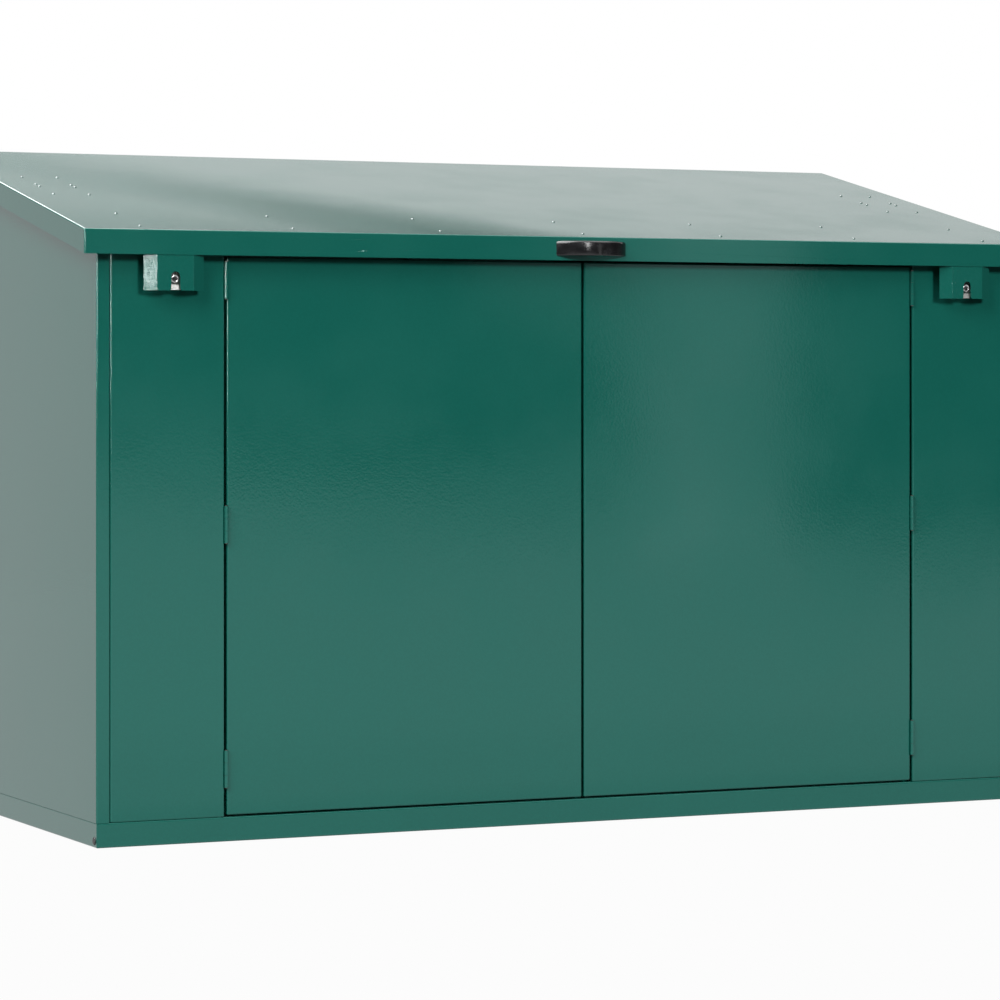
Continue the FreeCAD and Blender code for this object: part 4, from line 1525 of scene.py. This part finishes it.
@dataclass(frozen=True)
class SoftBox:
    """Rectangular light that faces a point."""

    name: str
    position: Point
    target: Point
    width: float
    height: float
    radiance: float
    mirrored: bool = True
    lighting: bool = True
    tint: Point = (1.0, 1.0, 1.0)
    beam: float = 180.0

    def build(self) -> None:
        """Add the light."""
        half_beam = math.radians(self.beam / 2)
        narrowing = 1 - half_beam / math.tan(half_beam)
        data = bpy.data.lights.new(self.name, "AREA")
        data.shape = "RECTANGLE"
        data.size = self.width
        data.size_y = self.height
        data.spread = 2 * half_beam
        data.energy = self.radiance * math.pi * self.width * self.height * narrowing
        data.color = self.tint
        lamp = bpy.data.objects.new(self.name, data)
        lamp.location = self.position
        way = Vector(self.target) - Vector(self.position)
        lamp.rotation_euler = way.to_track_quat("-Z", "Y").to_euler()
        lamp.visible_camera = False
        lamp.visible_glossy = self.mirrored
        lamp.visible_diffuse = self.lighting
        bpy.context.scene.collection.objects.link(lamp)


@dataclass
class Studio:
    """Floor, cards, lights and camera."""

    camera_place: Point = (-3.247, -7.005, 0.847)
    camera_turn: float = -25.03
    lens: float = 137.9
    sensor: float = 36.0
    frame_shift: float = -0.1202
    view_limit: float = 200.0
    floor_half: float = 30.0
    floor_drop: float = 0.0002
    fill: float = 0.03
    lights: tuple[SoftBox, ...] = (
        SoftBox("key_box", (2.9, -30.4, 10.75), (0.0, -0.43, 1.0), 5.6, 5.6, 61.0, mirrored=False),
        SoftBox("key_glint", (0.25, -8.6, 4.2), (0.0, -0.47, 1.1), 0.7, 6.0, 26.0, lighting=False),
        SoftBox("key_fade", (1.1, -8.6, 4.2), (0.0, -0.47, 1.1), 1.0, 6.0, 1.6, lighting=False,
                beam=11.0),
        SoftBox("left_bank", (-8.0, -5.04, 7.0), (0.0, -0.43, 1.0), 6.5, 7.0, 7.1),
        SoftBox("lid_box", (0.0, 0.9, 5.0), (0.0, 0.9, 0.0), 3.0, 2.0, 2.7, mirrored=False),
        SoftBox("glint_box", (-4.02, -5.58, 1.25), (-0.873, -0.45, 1.03), 0.30, 0.42, 75.0,
                lighting=False, tint=(1.0, 0.66, 0.67), beam=8.0),
        SoftBox("edge_strip", (-6.0, -4.5, 1.14), (-0.85, -0.43, 1.0), 0.25, 0.50, 400.0,
                lighting=False, tint=(1.0, 0.80, 0.80), beam=6.6),
        SoftBox("front_strip", (3.25, -6.0, 1.76), (0.6, -0.4, 1.76), 0.6, 2.98, 0.90),
        SoftBox("front_glow", (2.58, -6.0, 1.33), (0.0, -0.4, 1.33), 0.35, 0.55, 0.30),
        SoftBox("rear_box", (6.0, 6.5, 1.2), (0.5, 0.43, 0.65), 5.0, 2.4, 11.0, mirrored=False),
    )
    cards: tuple[Card, ...] = (
        Card("front_flag", 0.015, ((-16, -9.5, 0.50), (2.2, -9.5, 0.50), (6.2, -9.5, 0.05),
                                   (16, -9.5, 0.05), (16, -9.5, 9.0), (-16, -9.5, 9.0))),
        Card.square("rear_flag", 0.20, (-14, 8.0, 4.95), (16, 8.0, 14.0)),
        Card.square("rear_wall", 0.92, (-0.5, 8.1, -0.01), (16, 8.1, 4.95)),
        Card.square("rear_left_wall", 0.95, (-14, 8.1, -0.01), (-0.5, 8.1, 4.95)),
        # Dimmer floor cards just in front of the store: painted shade of the floor near the base, seen only
        # in reflections.
        Card.square("near_floor", 0.68, (-1.0, -0.45, 0.0), (4.0, -1.00, 0.0)),
        Card.square("far_floor", 0.86, (-1.0, -1.00, 0.0), (4.0, -2.10, 0.0)),
        Card("rear_glow", 10.0, ((-1.5, 7.9, 4.9), (1.2, 7.9, 4.9), (1.2, 7.9, 6.3),
                                 (3.0, 7.9, 6.3), (3.0, 7.9, 8.5), (-1.5, 7.9, 8.5))),
        Card.square("ceiling", 2.5, (-3, -3, 7.0), (5, 4, 7.0)),
        Card.square("right_flag", 0.015, (11.0, -9.5, 0.05), (11.0, 1.5, 9.0)),
        Card.square("left_flag", 0.03, (-8.6, -9.5, -0.01), (-8.6, -2.4, 2.3)),
        Card.square("side_card", 0.87, (-9.0, -2.0, -0.01), (-9.0, 8.0, 7.0)),
        Card.square("left_ceiling", 12.0, (-8, -3, 6.9), (-0.6, 4, 6.9)),
    )

    def add_floor(self) -> None:
        """Add the floor just under the base."""
        half = self.floor_half
        level = -self.floor_drop
        corners = ((-half, -half, level), (half, -half, level), (half, half, level), (-half, half, level))
        floor = flat_piece("studio_floor", corners)
        floor.data.materials.append(StudioFloor("pale_floor").material())

    def add_world(self) -> None:
        """White surroundings for what is seen, and a lower even fill for what is lit."""
        world = bpy.data.worlds.new("studio_air")
        world.use_nodes = True
        sheet = NodeSheet(world.node_tree)
        fill = sheet.node("ShaderNodeBackground", sockets={"Color": WHITE, "Strength": self.fill})
        seen = sheet.node("ShaderNodeBackground", sockets={"Color": WHITE, "Strength": 1.0})
        mixed = sheet.node("ShaderNodeMixShader", sockets={0: seen_share(sheet), 1: fill, 2: seen})
        sheet.node("ShaderNodeOutputWorld", sockets={"Surface": mixed})
        bpy.context.scene.world = world

    def add_camera(self) -> None:
        """Camera at the photograph's place."""
        data = bpy.data.cameras.new("photo_camera")
        data.lens = self.lens
        data.sensor_width = self.sensor
        data.shift_y = self.frame_shift
        data.clip_end = self.view_limit
        camera = bpy.data.objects.new("photo_camera", data)
        camera.location = self.camera_place
        camera.rotation_euler = (math.radians(90), 0.0, math.radians(self.camera_turn))
        bpy.context.scene.collection.objects.link(camera)
        bpy.context.scene.camera = camera

    def build(self) -> None:
        """Set up the studio."""
        bpy.context.scene.view_settings.view_transform = "Standard"
        self.add_camera()
        self.add_floor()
        self.add_world()
        for item in self.cards + self.lights:
            item.build()
            log.info("studio: %s", item.name)


def main() -> None:
    """Build the store's looks and the studio round it."""
    logging.basicConfig(level=logging.INFO, format="%(name)s %(message)s")
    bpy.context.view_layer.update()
    shop = Workshop()
    BaseFrame().build(shop)
    Walls().build(shop)
    for side in Side:
        Door(side).build(shop)
    Lid().build(shop)
    BowHandle().build(shop)
    for side in Side:
        LockSet(side).build(shop)
        GasStrut(side).build(shop)
    shop.dress(BOLT_ZINC, "strut_foot_studs")
    Studio().build()


if __name__ == "__main__":
    main()
